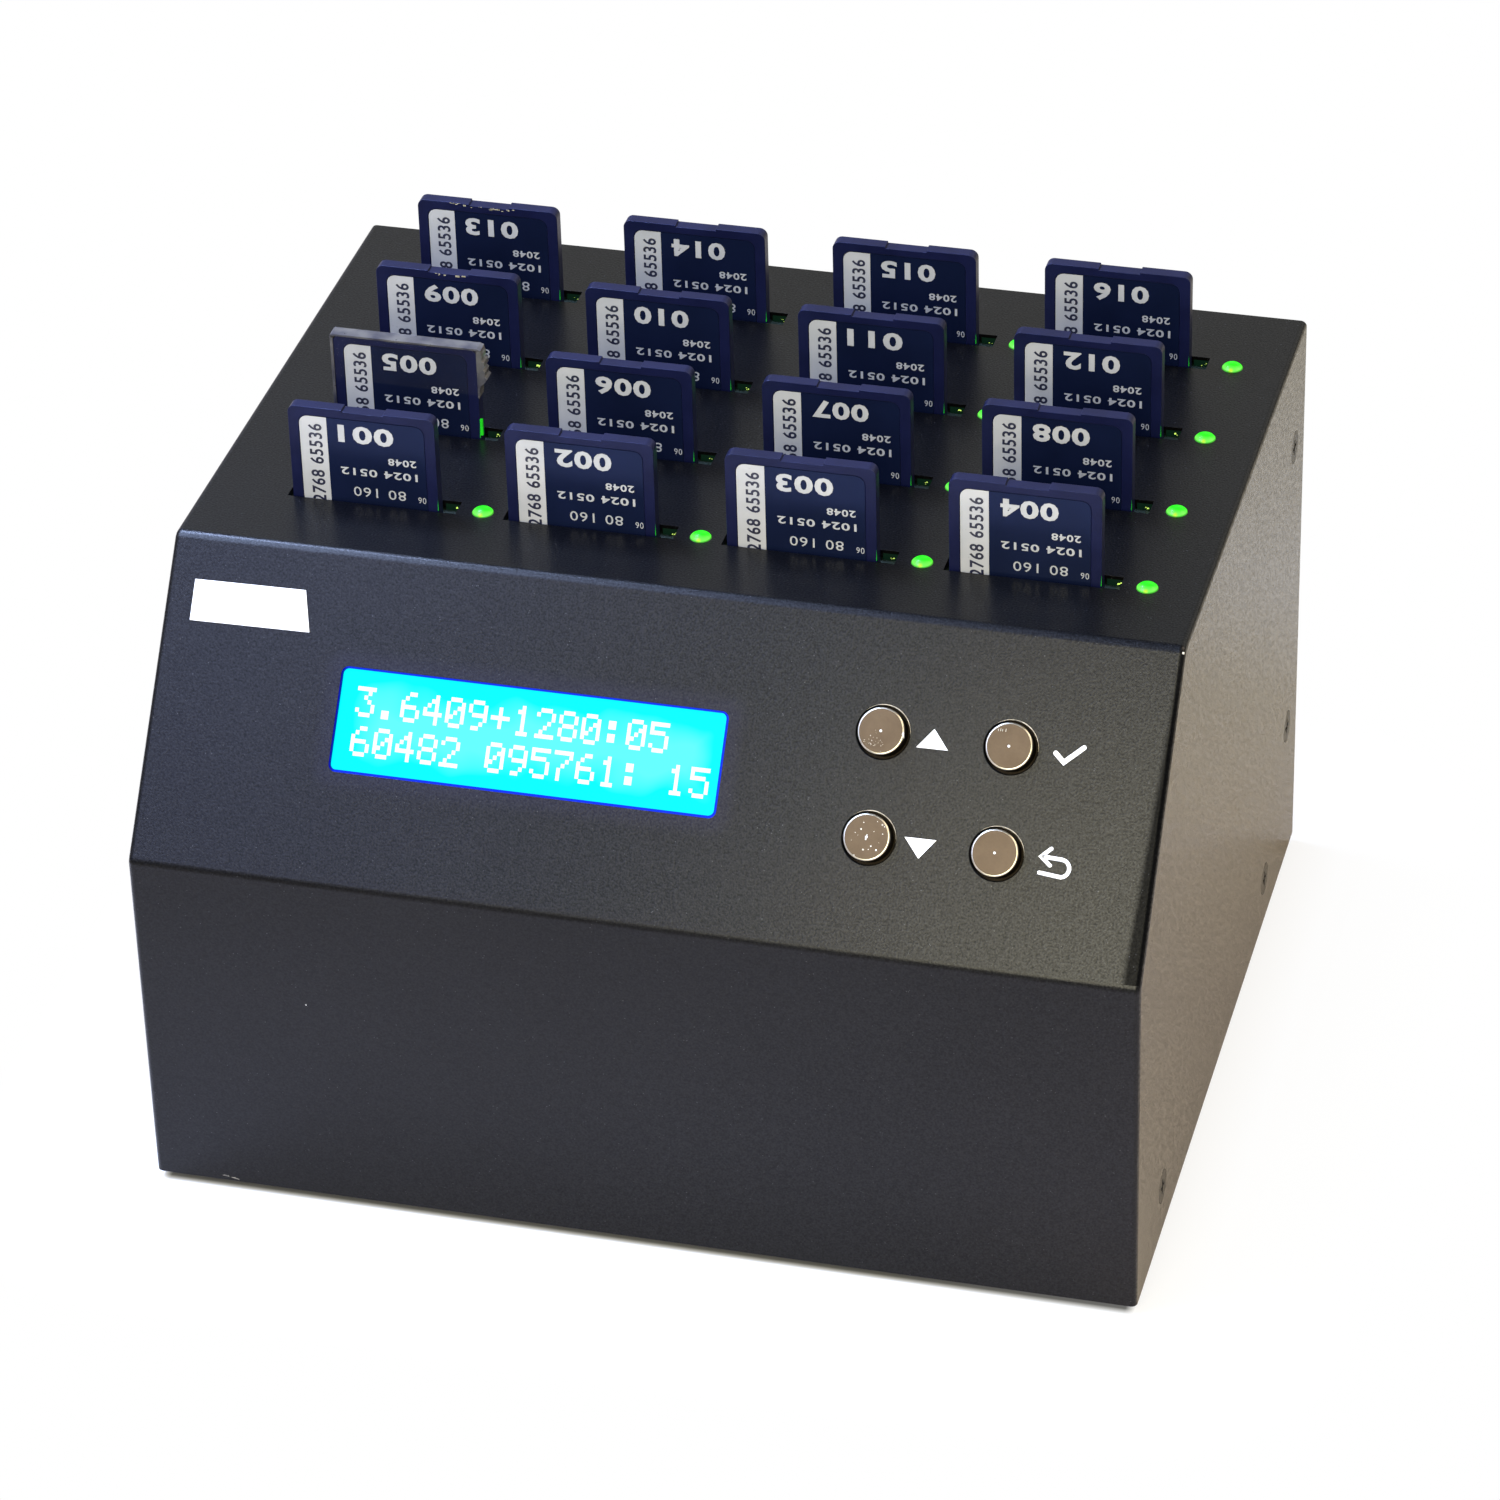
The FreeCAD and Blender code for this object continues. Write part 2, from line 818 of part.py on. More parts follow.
def cut_rear_plate(body):
    """Openings of the inlet, the power switch and the fan, and the fan's screw holes."""
    through = 2 * size("chassis_gauge")
    rear = sketch_on(body, "rear_outlines", "XZ_Plane", out=-rear_face)
    circle(rear, jack_across, size("jack_up"), size("jack_barrel") + 2 * size("jack_play"))
    play = 2 * size("power_cutout_play")
    rectangle(
        rear,
        power_across,
        size("power_up"),
        size("power_body_width") + play,
        size("power_body_height") + play,
    )
    for across, up in fan_hole_places():
        hole_diameter = size("screw_diameter") + 2 * size("screw_play")
        circle(rear, fan_across + across, size("fan_up") + up, hole_diameter)
    for across, up in vent_places():
        circle(rear, across, up, size("vent_hole"))
    pocket(body, "rear_openings", rear, through, backwards=True)


def vent_places():
    """Vent holes in rings about the fan's axis, six more in each ring outwards."""
    places = [(fan_across, size("fan_up"))]
    for ring in range(1, VENT_RINGS + 1):
        for k in range(6 * ring):
            angle = math.radians(60 * k / ring)
            radius = size("vent_ring_pitch") * ring
            across = fan_across + radius * math.cos(angle)
            places.append((across, size("fan_up") + radius * math.sin(angle)))
    return places


# Feet


def foot_places():
    """Distances from the middle and from the front face of each foot."""
    inset = size("foot_inset")
    side = size("case_width") / 2 - inset
    return [(sx * side, back) for sx in (-1, 1) for back in (inset, size("case_depth") - inset)]


def make_feet():
    """Four stick-on feet that narrow towards the floor."""
    pieces = []
    top = size("foot_diameter")
    for k, (across, back) in enumerate(foot_places()):
        foot = cone(f"foot_{k + 1}", top - size("foot_taper"), top, size("foot_height"))
        pieces.append(place(foot, across, case_front + back))
    group("rubber_feet", pieces)


# Screws


def pan_screw(name, diameter, head, head_height, length):
    """A pan-head screw along z: shank up from zero, head below it."""
    shank = rod(name + "_shank", diameter, length)
    top = rod(name + "_head", head, head_height, z=-as_size(head_height))
    return fuse(name, [shank, top])


def make_cover_screws():
    """Countersunk cross-head screws, four on each side."""
    pieces = []
    cone_height = (size("screw_head") - size("screw_diameter")) / 2
    long = size("recess_length")
    narrow = size("recess_width")
    deep = size("recess_depth")
    for side in (-1, 1):
        for k, (back, up) in enumerate(side_screw_places()):
            name = f"cover_screw_{'left' if side < 0 else 'right'}_{k + 1}"
            head = cone(name + "_head", size("screw_head"), size("screw_diameter"), cone_height)
            shank = rod(name + "_shank", size("screw_diameter"), size("screw_length"))
            recess = [
                middle_block(name + "_recess_along", long, narrow, deep),
                middle_block(name + "_recess_across", narrow, long, deep),
            ]
            screw = cut(name, fuse(name + "_blank", [head, shank]), recess)
            turn(screw, (0, 1, 0), -90 * side)
            pieces.append(in_case(screw, side * size("case_width") / 2, back, up))
    group("cover_screws", pieces)


# Memory cards


def card_place(column, row):
    across = first_column + size("column_pitch") * column
    back = first_row + row_pitch * row
    return across, back


def make_card(column, row):
    """A full-size memory card standing on its contact edge, label to the front."""
    name = f"card_row_{row + 1}_column_{column + 1}"
    body = new_body(name)
    half = size("card_width") / 2
    length = size("card_length")
    thickness = size("card_thickness")
    notch = size("card_cut")
    shape = sketch_on(body, name + "_outline", "XZ_Plane")
    grip = length - size("card_grip_depth")
    right_grip = [(size("card_grip_right"), length), (size("card_grip_right"), grip)]
    left_grip = [(-size("card_grip_left"), grip), (-size("card_grip_left"), length)]
    foot = [(-half, notch), (notch - half, 0), (half, 0)]
    outline(shape, foot + [(half, length)] + right_grip + left_grip + [(-half, length)])
    blank = pad(body, name + "_blank", shape, thickness, both_ways=True)

    def is_top_corner(edge, middle):
        at_side = near(abs(middle.x), half)
        return runs_along(edge, 1) and at_side and near(middle.z, length)

    round_edges(body, name + "_corners", blank, size("card_corner"), is_top_corner)
    front = thickness / 2
    label = sketch_on(body, name + "_label_outline", "XZ_Plane", out=front)
    label_half = half - size("card_label_side")
    label_low = card_label_low()
    label_high = length - size("card_label_top")
    rounded_rectangle(
        label,
        as_size(0),
        (label_low + label_high) / 2,
        2 * label_half,
        label_high - label_low,
        size("card_label_corner"),
    )
    pocket(body, name + "_label_recess", label, size("card_label_depth"))
    side = sketch_on(body, name + "_side_outline", "XZ_Plane")
    low = size("card_notch_up")
    high = low + size("card_notch_height")
    deep = size("card_notch_depth")
    for sx in (-1, 1):
        edge = sx * half
        inner = sx * (half - deep)
        corners = [(inner, low), (edge, low), (edge, high), (inner, high)]
        outline(side, corners if sx > 0 else corners[::-1])
    pocket(body, name + "_side_notches", side, thickness * 2, both_ways=True)
    pads = sketch_on(body, name + "_contact_outline", "XZ_Plane", out=-front)
    first = -size("contact_pitch") * ((CONTACT_PADS - 1) / 2)
    contact_up = size("contact_length")
    rectangle(pads, first, contact_up, size("contact_width"), size("contact_length"))
    contact = pocket(body, name + "_contact", pads, size("contact_depth"), backwards=True)
    repeat(body, name + "_contacts", contact, ("X_Axis", CONTACT_PADS, size("contact_pitch")))
    across, back = card_place(column, row)
    in_case(body, across, back, card_bottom)


def card_label_low():
    """The label ends above the notches in the card's sides."""
    return size("card_notch_up") + size("card_notch_height") / 2


# Slot board with its sockets, status lamps, light pipes, posts and screws


def make_slot_board():
    front = first_row - size("slot_board_overhang")
    depth = last_row + size("slot_board_overhang") - front
    thickness = size("board_thickness")
    low = slot_board_top - thickness
    width = 2 * slot_board_half
    board = block("slot_board_sheet", width, depth, thickness, -slot_board_half, front, low)
    holes = board_holes("slot_board", slot_post_places(), low)
    in_case(node("slot_board", cut("slot_board", board, holes)))


def board_holes(name, places, low):
    """Tools for a board's screw holes, longer than the board is thick on both sides."""
    thickness = size("board_thickness")
    diameter = size("board_screw_diameter") + 2 * size("board_screw_play")
    return [
        rod(f"{name}_hole_{k + 1}", diameter, 3 * thickness, across, up, low - thickness)
        for k, (across, up) in enumerate(places)
    ]


def slot_post_places():
    """Posts between the first two and the last two rows, at both sides and in the middle."""
    side = slot_board_half - size("post_inset")
    between = [first_row + row_pitch / 2, last_row - row_pitch / 2]
    return [(across, back) for across in (-side, as_size(0), side) for back in between]


def make_sockets(row):
    """The four upright card sockets of one row."""
    pieces = []
    low = slot_board_top
    top = inner_top - size("socket_gap")
    height = top - low
    width = size("socket_width")
    depth = size("socket_depth")
    well_width = size("card_width") + 2 * size("card_side_play")
    well_depth = size("card_thickness") + 2 * size("card_face_play")
    well_low = low + size("socket_floor")
    mouth_low = top - size("socket_mouth_depth")
    for column in range(COLUMNS):
        across, back = card_place(column, row)
        name = f"socket_{row + 1}_{column + 1}"
        middle = across + size("slot_shift")
        mouth_start = across + size("card_width") / 2
        mouth_width = middle + size("slot_length") / 2 - mouth_start
        mouth_front = back - well_depth / 2
        shell = middle_block(name + "_shell", width, depth, height, middle, back, low)
        well = middle_block(name + "_well", well_width, well_depth, height, across, back, well_low)
        mouth = block(
            name + "_mouth", mouth_width, well_depth, height, mouth_start, mouth_front, mouth_low
        )
        pieces.append(cut(name, shell, [well, mouth]))
    in_case(group(f"card_sockets_row_{row + 1}", pieces))


def make_light_pipe(column, row):
    """A clear domed rod that carries one lamp's light up through the cover."""
    foot = slot_board_top + size("lamp_height") + size("pipe_lamp_gap")
    straight = size("case_height") - foot
    radius = size("pipe_diameter") / 2
    dome = size("pipe_dome")
    ball_radius = (radius * radius + dome * dome) / (2 * dome)
    across, back = card_place(column, row)
    x = across + size("pipe_shift")
    name = f"light_pipe_{row + 1}_{column + 1}"
    long_rod = rod(name + "_rod", size("pipe_diameter"), straight + dome, x, back, foot)
    ball = doc.addObject("Part::Sphere", name + "_ball")
    bind(ball, Radius=ball_radius)
    place(ball, x, back, size("case_height") + dome - ball_radius)
    lower = rod(name + "_lower", size("pipe_diameter"), straight, x, back, foot)
    tip = doc.addObject("Part::MultiCommon", name + "_tip")
    tip.Shapes = [long_rod, ball]
    return fuse(name, [lower, tip])


def make_status_lamps():
    """One small surface-mounted lamp on the board under every light pipe."""
    pieces = []
    for row in range(ROWS):
        for column in range(COLUMNS):
            across, back = card_place(column, row)
            pieces.append(
                middle_block(
                    f"status_lamp_{row + 1}_{column + 1}",
                    size("lamp_length"),
                    size("lamp_width"),
                    size("lamp_height"),
                    across + size("pipe_shift"),
                    back,
                    slot_board_top,
                )
            )
    in_case(group("status_lamps", pieces))


def bored_post(name, length):
    """A round post along z from zero, bored a little deeper than its screw reaches."""
    bore = size("board_screw_diameter") + size("board_screw_play")
    depth = size("board_screw_length") - size("board_thickness") + size("post_bore_spare")
    return cut(name, rod(name + "_rod", size("post_diameter"), length), [rod(name + "_bore", bore, depth)])


def make_slot_posts():
    """Posts pressed into the underside of the cover's top, with a screw up into each."""
    posts = []
    for k, (across, back) in enumerate(slot_post_places()):
        post = bored_post(f"slot_post_{k + 1}", inner_top - slot_board_top)
        posts.append(place(post, across, back, slot_board_top))
        screw = board_screw(f"slot_screw_{k + 1}")
        board_screws.append(in_case(screw, across, back, slot_board_top - size("board_thickness")))
    in_case(group("slot_board_posts", posts))


# The like screws that hold all the boards share one sub-part, so they are gathered here
board_screws = []


def board_screw(name):
    return pan_screw(
        name,
        size("board_screw_diameter"),
        size("board_screw_head"),
        size("pan_head_height"),
        size("board_screw_length"),
    )


# Display module


def make_display():
    across = size("window_across")
    up = size("window_up")
    length = size("bezel_length")
    width = size("bezel_width")
    depth = size("bezel_depth")
    wall = size("bezel_wall")
    rim = size("bezel_rim")
    out = -(size("cover_gauge") + size("display_gap"))
    shell = middle_block("bezel_shell", length, width, depth, z=-depth)
    inside = middle_block("bezel_inside", length - 2 * wall, width - 2 * wall, depth, z=-depth - wall)
    window = middle_block("bezel_window", length - 2 * rim, width - 2 * rim, 2 * depth, z=-depth)
    on_panel(node("display_bezel", cut("display_bezel", shell, [inside, window])), across, up, out)
    inner_length = length - 2 * wall - 2 * size("glass_play")
    inner_width = width - 2 * wall - 2 * size("glass_play")
    glass = size("glass_thickness")
    on_panel(plate("display_glass", inner_length, inner_width, glass), across, up, out - wall - glass)
    light_depth = depth - wall - glass
    on_panel(plate("display_backlight", inner_length, inner_width, light_depth), across, up, out - depth)
    make_panel_board("display_board", across, up, *display_board_size())


def display_board_size():
    """Length, width and hole inset of the board under the display."""
    length = size("bezel_length") + 2 * size("display_board_margin")
    width = size("bezel_width") + 2 * size("display_board_lip")
    return length, width, size("display_hole_inset")


def make_panel_board(label, across, up, length, width, inset):
    """A board behind the sloped panel with a hole in each corner."""
    thickness = size("board_thickness")
    board = middle_block(label + "_sheet", length, width, thickness, z=-thickness)
    holes = board_holes(label, corner_places(length, width, inset), -thickness)
    on_panel(node(label, cut(label, board, holes)), across, up, panel_board_top)


def corner_places(length, width, inset):
    """The four places set in from the corners of a rectangle about its centre."""
    return [
        (sx * (length / 2 - inset), sy * (width / 2 - inset))
        for sx in (-1, 1)
        for sy in (-1, 1)
    ]


# Buttons


def button_places():
    """Each button's place across and up the panel."""
    half_u = size("button_pitch_across") / 2
    half_v = size("button_pitch_up") / 2
    u = size("button_across")
    v = size("button_up")
    return {
        "up": (u - half_u, v + half_v),
        "enter": (u + half_u, v + half_v),
        "down": (u - half_u, v - half_v),
        "back": (u + half_u, v - half_v),
    }


def button_stem_foot():
    """How far out of the panel the stem's foot is; it is below the panel, so it is negative."""
    return panel_board_top + size("switch_height") - size("stem_engagement")


def make_button(name, across, up):
    """A turned metal cap with a retaining flange and a stem, spun from one profile."""
    body = new_body(f"button_{name}")
    stem = size("stem_diameter") / 2
    flange = size("cap_flange") / 2
    cap = size("cap_diameter") / 2
    proud = size("cap_proud")
    chamfer = size("cap_chamfer")
    pip = size("pip_diameter") / 2
    flange_top = -(size("cover_gauge") + size("cap_gap"))
    flange_low = flange_top - size("cap_flange_thickness")
    profile = sketch_on(body, f"button_{name}_profile", "XZ_Plane")
    outline(
        profile,
        [
            (0, button_stem_foot()),
            (stem, button_stem_foot()),
            (stem, flange_low),
            (flange, flange_low),
            (flange, flange_top),
            (cap, flange_top),
            (cap, proud - chamfer),
            (cap - chamfer, proud),
            (pip, proud),
            (0, proud - size("pip_depth")),
        ],
    )
    turned = body.newObject("PartDesign::Revolution", f"button_{name}_turned")
    turned.Profile = profile
    turned.ReferenceAxis = (profile, ["V_Axis"])
    turned.Angle = 360
    on_panel(body, across, up)


def button_board_start():
    """How far across the board under the buttons begins, beside the display board."""
    return size("window_across") + display_board_size()[0] / 2 + size("panel_board_gap")


def button_board_size():
    """Length, width and hole inset of the board under the buttons."""
    end = size("button_across") + size("button_pitch_across") / 2 + size("button_board_margin_across")
    width = size("button_pitch_up") + 2 * size("button_board_margin_up")
    return end - button_board_start(), width, size("button_board_hole_inset")


def button_board_middle():
    return button_board_start() + button_board_size()[0] / 2


def make_button_board():
    """The board under the buttons, and a sprung switch under each stem."""
    make_panel_board("button_board", button_board_middle(), size("button_up"), *button_board_size())
    switches = []
    side = size("switch_side")
    height = size("switch_height")
    well = size("stem_engagement") + size("button_travel") + size("stem_play")
    bore_diameter = size("stem_diameter") + 2 * size("stem_play")
    for name, (u, v) in button_places().items():
        shell = middle_block(f"switch_{name}_shell", side, side, height, u, v)
        bore = rod(f"switch_{name}_bore", bore_diameter, height, u, v, height - well)
        switches.append(cut(f"switch_{name}", shell, [bore]))
    on_panel(group("key_switches", switches), 0, 0, panel_board_top)


def make_panel_posts():
    """Posts on the back of the sloped panel for both boards, with a screw up into each."""
    places = []
    for u, v in corner_places(*display_board_size()):
        places.append((size("window_across") + u, size("window_up") + v))
    for u, v in corner_places(*button_board_size()):
        places.append((button_board_middle() + u, size("button_up") + v))
    posts = []
    for k, (across, up) in enumerate(places):
        post = bored_post(f"panel_post_{k + 1}", panel_post_length)
        posts.append(place(post, across, up, panel_board_top))
        screw = board_screw(f"panel_screw_{k + 1}")
        board_screws.append(on_panel(screw, across, up, panel_board_top - size("board_thickness")))
    on_panel(group("panel_posts", posts))


def make_label():
    """A blank label stuck to the upper left of the slope."""
    label = plate("front_label", size("label_width"), size("label_height"), size("label_thickness"))
    on_panel(label, size("label_side_margin") - half_width, size("label_up"))


# Controller board on the chassis floor


def controller_top():
    """How high the top of the controller board is."""
    return size("chassis_gauge") + size("controller_lift") + size("board_thickness")


def make_controller():
    length = size("controller_length")
    width = size("controller_width")
    inset = size("controller_hole_inset")
    middle = size("controller_front") + width / 2
    low = size("chassis_gauge") + size("controller_lift")
    thickness = size("board_thickness")
    across = size("controller_across")
    board = middle_block("controller_sheet", length, width, thickness, across, middle, low)
    places = [(across + u, middle + v) for u, v in corner_places(length, width, inset)]
    holes = board_holes("controller", places, low)
    posts = []
    for k, (x, y) in enumerate(places):
        post = bored_post(f"controller_post_{k + 1}", size("controller_lift"))
        turn(post, (1, 0, 0), 180)
        posts.append(place(post, x, y, low))
        screw = board_screw(f"controller_screw_{k + 1}")
        turn(screw, (1, 0, 0), 180)
        board_screws.append(in_case(screw, x, y, controller_top()))
    in_case(node("controller_board", cut("controller_board", board, holes)))
    in_case(group("controller_posts", posts))
    chip = plate("controller_chip", size("chip_side"), size("chip_side"), size("chip_height"))
    in_case(chip, across, middle, controller_top())
    make_heat_sink(across, middle)


def make_heat_sink(across, middle):
    """A finned block over the chip."""
    body = new_body("heat_sink")
    side = size("sink_side")
    height = size("sink_height")
    base = sketch_on(body, "sink_outline", "XY_Plane")
    rectangle(base, 0, 0, side, side)
    pad(body, "sink_block", base, height)
    fin = size("fin_thickness")
    pitch = (side - fin) / (SINK_FINS - 1)
    gap = sketch_on(body, "sink_gap_outline", "XY_Plane", up=height)
    rectangle(gap, -side / 2 + fin + (pitch - fin) / 2, 0, pitch - fin, side + fin)
    channel = pocket(body, "sink_channel", gap, height - size("sink_base"))
    repeat(body, "sink_channels", channel, ("X_Axis", SINK_FINS - 1, pitch))
    in_case(body, across, middle, controller_top() + size("chip_height"))


# Ribbon cables and the headers that hold their ends


def cable_header(name, length, down=False):
    """A plastic header along x with a slit for a flat cable, opening upwards or downwards."""
    wall = size("header_wall")
    height = size("header_height")
    slit_width = size("ribbon_thickness") + 2 * size("ribbon_slit_play")
    low = -height if down else as_size(0)
    slit_low = -height - wall if down else wall
    shell = middle_block(name + "_shell", length, size("header_width"), height, z=low)
    slit = middle_block(name + "_slit", length - 2 * wall, slit_width, height, z=slit_low)
    return cut(name, shell, [slit])


def slot_cable_run():
    """How far back the slot cable stands at the controller board and at the slot board."""
    low_y = size("controller_front") + size("controller_width") - size("header_inset")
    return low_y, (first_row + last_row) / 2


def display_cable_run():
    """How far back the display cable stands, and how far up the panel it leaves the display."""
    low_y = size("controller_front") + size("header_inset")
    board_width = display_board_size()[1]
    return low_y, size("window_up") - board_width / 2 + size("header_width")


def make_headers():
    """A pair of headers for each flat cable: one on the controller board, one on the far board."""
    low_y, high_y = slot_cable_run()
    across = size("controller_across")
    low = cable_header("slot_header_low", size("header_length"))
    high = cable_header("slot_header_high", size("header_length"), down=True)
    in_case(low, across, low_y, controller_top())
    in_case(high, across, high_y, slot_board_top - size("board_thickness"))
    group("slot_cable_headers", [low, high])
    low_y, up = display_cable_run()
    across = size("window_across")
    low = cable_header("display_header_low", size("display_header_length"))
    high = cable_header("display_header_high", size("display_header_length"), down=True)
    in_case(low, across, low_y, controller_top())
    on_panel(high, across, up, panel_board_top - size("board_thickness"))
    group("display_cable_headers", [low, high])


def ribbon(label, corners, inner, outer, header_length, across):
    """A flat cable: a thin bent strip padded to its width, its bends rounded inside and outside."""
    body = new_body(label)
    strip = sketch_on(body, label + "_profile", "YZ_Plane")
    outline(strip, corners)
    width = header_length - 2 * size("header_wall") - 2 * size("ribbon_play")
    blank = pad(body, label + "_strip", strip, width, both_ways=True)

    def at(places):
        return lambda edge, middle: runs_along(edge, 0) and any(
            near(middle.y, y) and near(middle.z, z) for y, z in places
        )

    bend = size("ribbon_bend")
    tight = round_edges(body, label + "_inner_bends", blank, bend, at(inner))
    round_edges(body, label + "_outer_bends", tight, bend + size("ribbon_thickness"), at(outer))
    in_case(body, across)


def make_slot_cable():
    low_y, high_y = slot_cable_run()
    half = size("ribbon_thickness") / 2
    low_z = controller_top() + size("header_wall")
    high_z = slot_board_top - size("board_thickness") - size("header_wall")
    middle = (low_z + high_z) / 2
    inner = [(low_y - half, middle - half), (high_y + half, middle + half)]
    outer = [(low_y + half, middle + half), (high_y - half, middle - half)]
    corners = [
        (low_y + half, low_z),
        outer[0],
        inner[1],
        (high_y + half, high_z),
        (high_y - half, high_z),
        outer[1],
        inner[0],
        (low_y - half, low_z),
    ]
    ribbon("slot_cable", corners, inner, outer, size("header_length"), size("controller_across"))


def make_display_cable():
    low_y, up = display_cable_run()
    half = size("ribbon_thickness") / 2
    low_z = controller_top() + size("header_wall")
    lean_sine = sine(panel_angle)
    lean_cosine = cosine(panel_angle)
    out = panel_board_top - size("board_thickness") - size("header_wall")
    start_y = up * lean_cosine - out * lean_sine
    start_z = size("front_height") + up * lean_sine + out * lean_cosine
    starts = []
    bends = []
    for side in (-1, 1):
        edge_y = start_y + side * half * lean_cosine
        edge_z = start_z + side * half * lean_sine
        run = (low_y + side * half - edge_y) / lean_sine
        starts.append((edge_y, edge_z))
        bends.append((low_y + side * half, edge_z - run * lean_cosine))
    corners = [
        starts[0],
        starts[1],
        bends[1],
        (low_y + half, low_z),
        (low_y - half, low_z),
        bends[0],
    ]
    length = size("display_header_length")
    ribbon("display_cable", corners, bends[:1], bends[1:], length, size("window_across"))


# Power inlet on the rear plate


def make_power_jack():
    """A round socket with a centre pin, spun about its axis, and its nut inside."""
    body = new_body("power_jack")
    barrel = size("jack_barrel") / 2
    flange = size("jack_flange") / 2
    bore = size("jack_bore") / 2
    pin = size("jack_pin") / 2
    face = size("jack_flange_thickness")
    floor = face - size("jack_bore_depth")
    pin_tip = face - size("jack_pin_set_back")
    profile = sketch_on(body, "jack_profile", "XY_Plane")
    outline(
        profile,
        [
            (0, -size("jack_length")),
            (barrel, -size("jack_length")),
            (barrel, 0),
            (flange, 0),
            (flange, face),
            (bore, face),
            (bore, floor),
            (pin, floor),
            (pin, pin_tip),
            (0, pin_tip),
        ],
    )
    turned = body.newObject("PartDesign::Revolution", "jack_turned")
    turned.Profile = profile
    turned.ReferenceAxis = (profile, ["V_Axis"])
    turned.Angle = 360
    in_case(body, jack_across, rear_face, size("jack_up"))
    hexagon = doc.addObject("Part::Prism", "jack_nut_blank")
    hexagon.Polygon = 6
    thickness = size("nut_thickness")
    bind(hexagon, Circumradius=size("nut_flats") / math.sqrt(3), Height=thickness)
    hole_diameter = size("jack_barrel") + 2 * size("jack_play")
    hole = rod("jack_nut_bore", hole_diameter, 3 * thickness, z=-thickness)
    nut = turn(cut("power_jack_nut", hexagon, [hole]), (1, 0, 0), 90)
    in_case(node("power_jack_nut", nut), jack_across, rear_inside, size("jack_up"))


# Power switch on the rear plate


def rocker_pivot_back():
    """How far back the rocker's pivot sits."""
    return rear_face + size("power_bezel_thickness") - size("rocker_pivot_depth")


def make_power_switch():
    """The switch's housing, with a well and two pin holes for the rocker."""
    face = size("power_bezel_thickness")
    depth = size("power_body_depth")
    width = size("power_body_width")
    height = size("power_body_height")
    play = size("rocker_play")
    bezel = centred_slab("power_bezel", size("power_bezel_width"), size("power_bezel_height"), 0, face)
    body = centred_slab("power_body", width, height, -depth, depth)
    end_reach = size("rocker_half_length") * cosine(rocker_lean)
    end_reach = end_reach + size("rocker_end_height") * sine(rocker_lean)
    root_reach = diagonal(size("rocker_root_half"), size("rocker_root_depth"))
    well_depth = size("rocker_pivot_depth") + root_reach + play
    well_width = size("rocker_width") + 2 * play
    well_height = 2 * (end_reach + play)
    well = centred_slab("power_well", well_width, well_height, face - well_depth, 2 * well_depth)
    hole_diameter = size("rocker_pin") + 2 * size("rocker_pin_play")
    hole_length = size("rocker_width") + 2 * size("rocker_pin_length") + play
    hole = turn(rod("power_pin_hole", hole_diameter, hole_length), (0, 1, 0), 90)
    place(hole, -hole_length / 2, face - size("rocker_pivot_depth"))
    housing = cut("power_switch_housing", fuse("power_switch_blank", [bezel, body]), [well, hole])
    in_case(node("power_switch_housing", housing), power_across, rear_face, size("power_up"))


def centred_slab(name, width, height, back, depth):
    """A box centred across x and z, from one distance back to another."""
    return block(name, width, depth, height, -as_size(width) / 2, back, -as_size(height) / 2)


def make_rocker():
    """The rocker, leaning to its on side, with a pivot pin at each side."""
    body = new_body("power_rocker")
    end = size("rocker_end_height")
    half = size("rocker_half_length")
    edge = size("rocker_edge_height")
    root = size("rocker_root_depth")
    root_half = size("rocker_root_half")
    profile = sketch_on(body, "rocker_profile", "YZ_Plane")
    outline(
        profile,
        [
            (end, half),
            (size("rocker_middle_height"), 0),
            (end, -half),
            (edge, -half),
            (-root, -root_half),
            (-root, root_half),
            (edge, half),
        ],
    )
    pad(body, "rocker_block", profile, size("rocker_width"), both_ways=True)
    pin = sketch_on(body, "rocker_pin_outline", "YZ_Plane")
    circle(pin, 0, 0, size("rocker_pin"))
    pad(body, "rocker_pins", pin, size("rocker_width") + 2 * size("rocker_pin_length"), both_ways=True)
    turn(body, (1, 0, 0), rocker_lean)
    in_case(body, power_across, rocker_pivot_back(), size("power_up"))


# Fan behind the rear plate


def fan_hole_places():
    """The fan's four screw holes about its axis."""
    half = size("fan_hole_pitch") / 2
    return [(sx * half, sz * half) for sx in (-1, 1) for sz in (-1, 1)]


def make_fan_frame():
    """A square frame with a round duct, and a hub plate on struts at its inner side."""
    body = new_body("fan_frame")
    side = size("fan_side")
    depth = size("fan_depth")
    inner = size("fan_hub_plate")
    strut = size("fan_strut_width")
    reach = (side + size("fan_bore")) / 2
    frame = sketch_on(body, "fan_outline", "XZ_Plane")
    rounded_rectangle(frame, as_size(0), as_size(0), side, side, size("fan_corner"))
    pad(body, "fan_block", frame, depth)
    duct = sketch_on(body, "fan_duct_outline", "XZ_Plane", out=depth)
    circle(duct, 0, 0, size("fan_bore"))
    pocket(body, "fan_duct", duct, 2 * depth)
    for name, width, height in (("across", reach, strut), ("up", strut, reach)):
        bar = sketch_on(body, f"fan_strut_{name}_outline", "XZ_Plane", out=depth - inner)
        rectangle(bar, 0, 0, width, height)
        pad(body, f"fan_strut_{name}", bar, inner)
    hub = sketch_on(body, "fan_hub_outline", "XZ_Plane", out=depth - inner)
    circle(hub, 0, 0, size("fan_hub"))
    pad(body, "fan_hub_plate", hub, inner)
    holes = sketch_on(body, "fan_hole_outlines", "XZ_Plane", out=depth)
    circle(holes, 0, 0, size("fan_shaft") + 2 * size("fan_shaft_play"))
    for across, up in fan_hole_places():
        circle(holes, across, up, size("screw_diameter") + size("screw_play"))
    pocket(body, "fan_holes", holes, 2 * depth)
    in_case(body, fan_across, rear_inside, size("fan_up"))


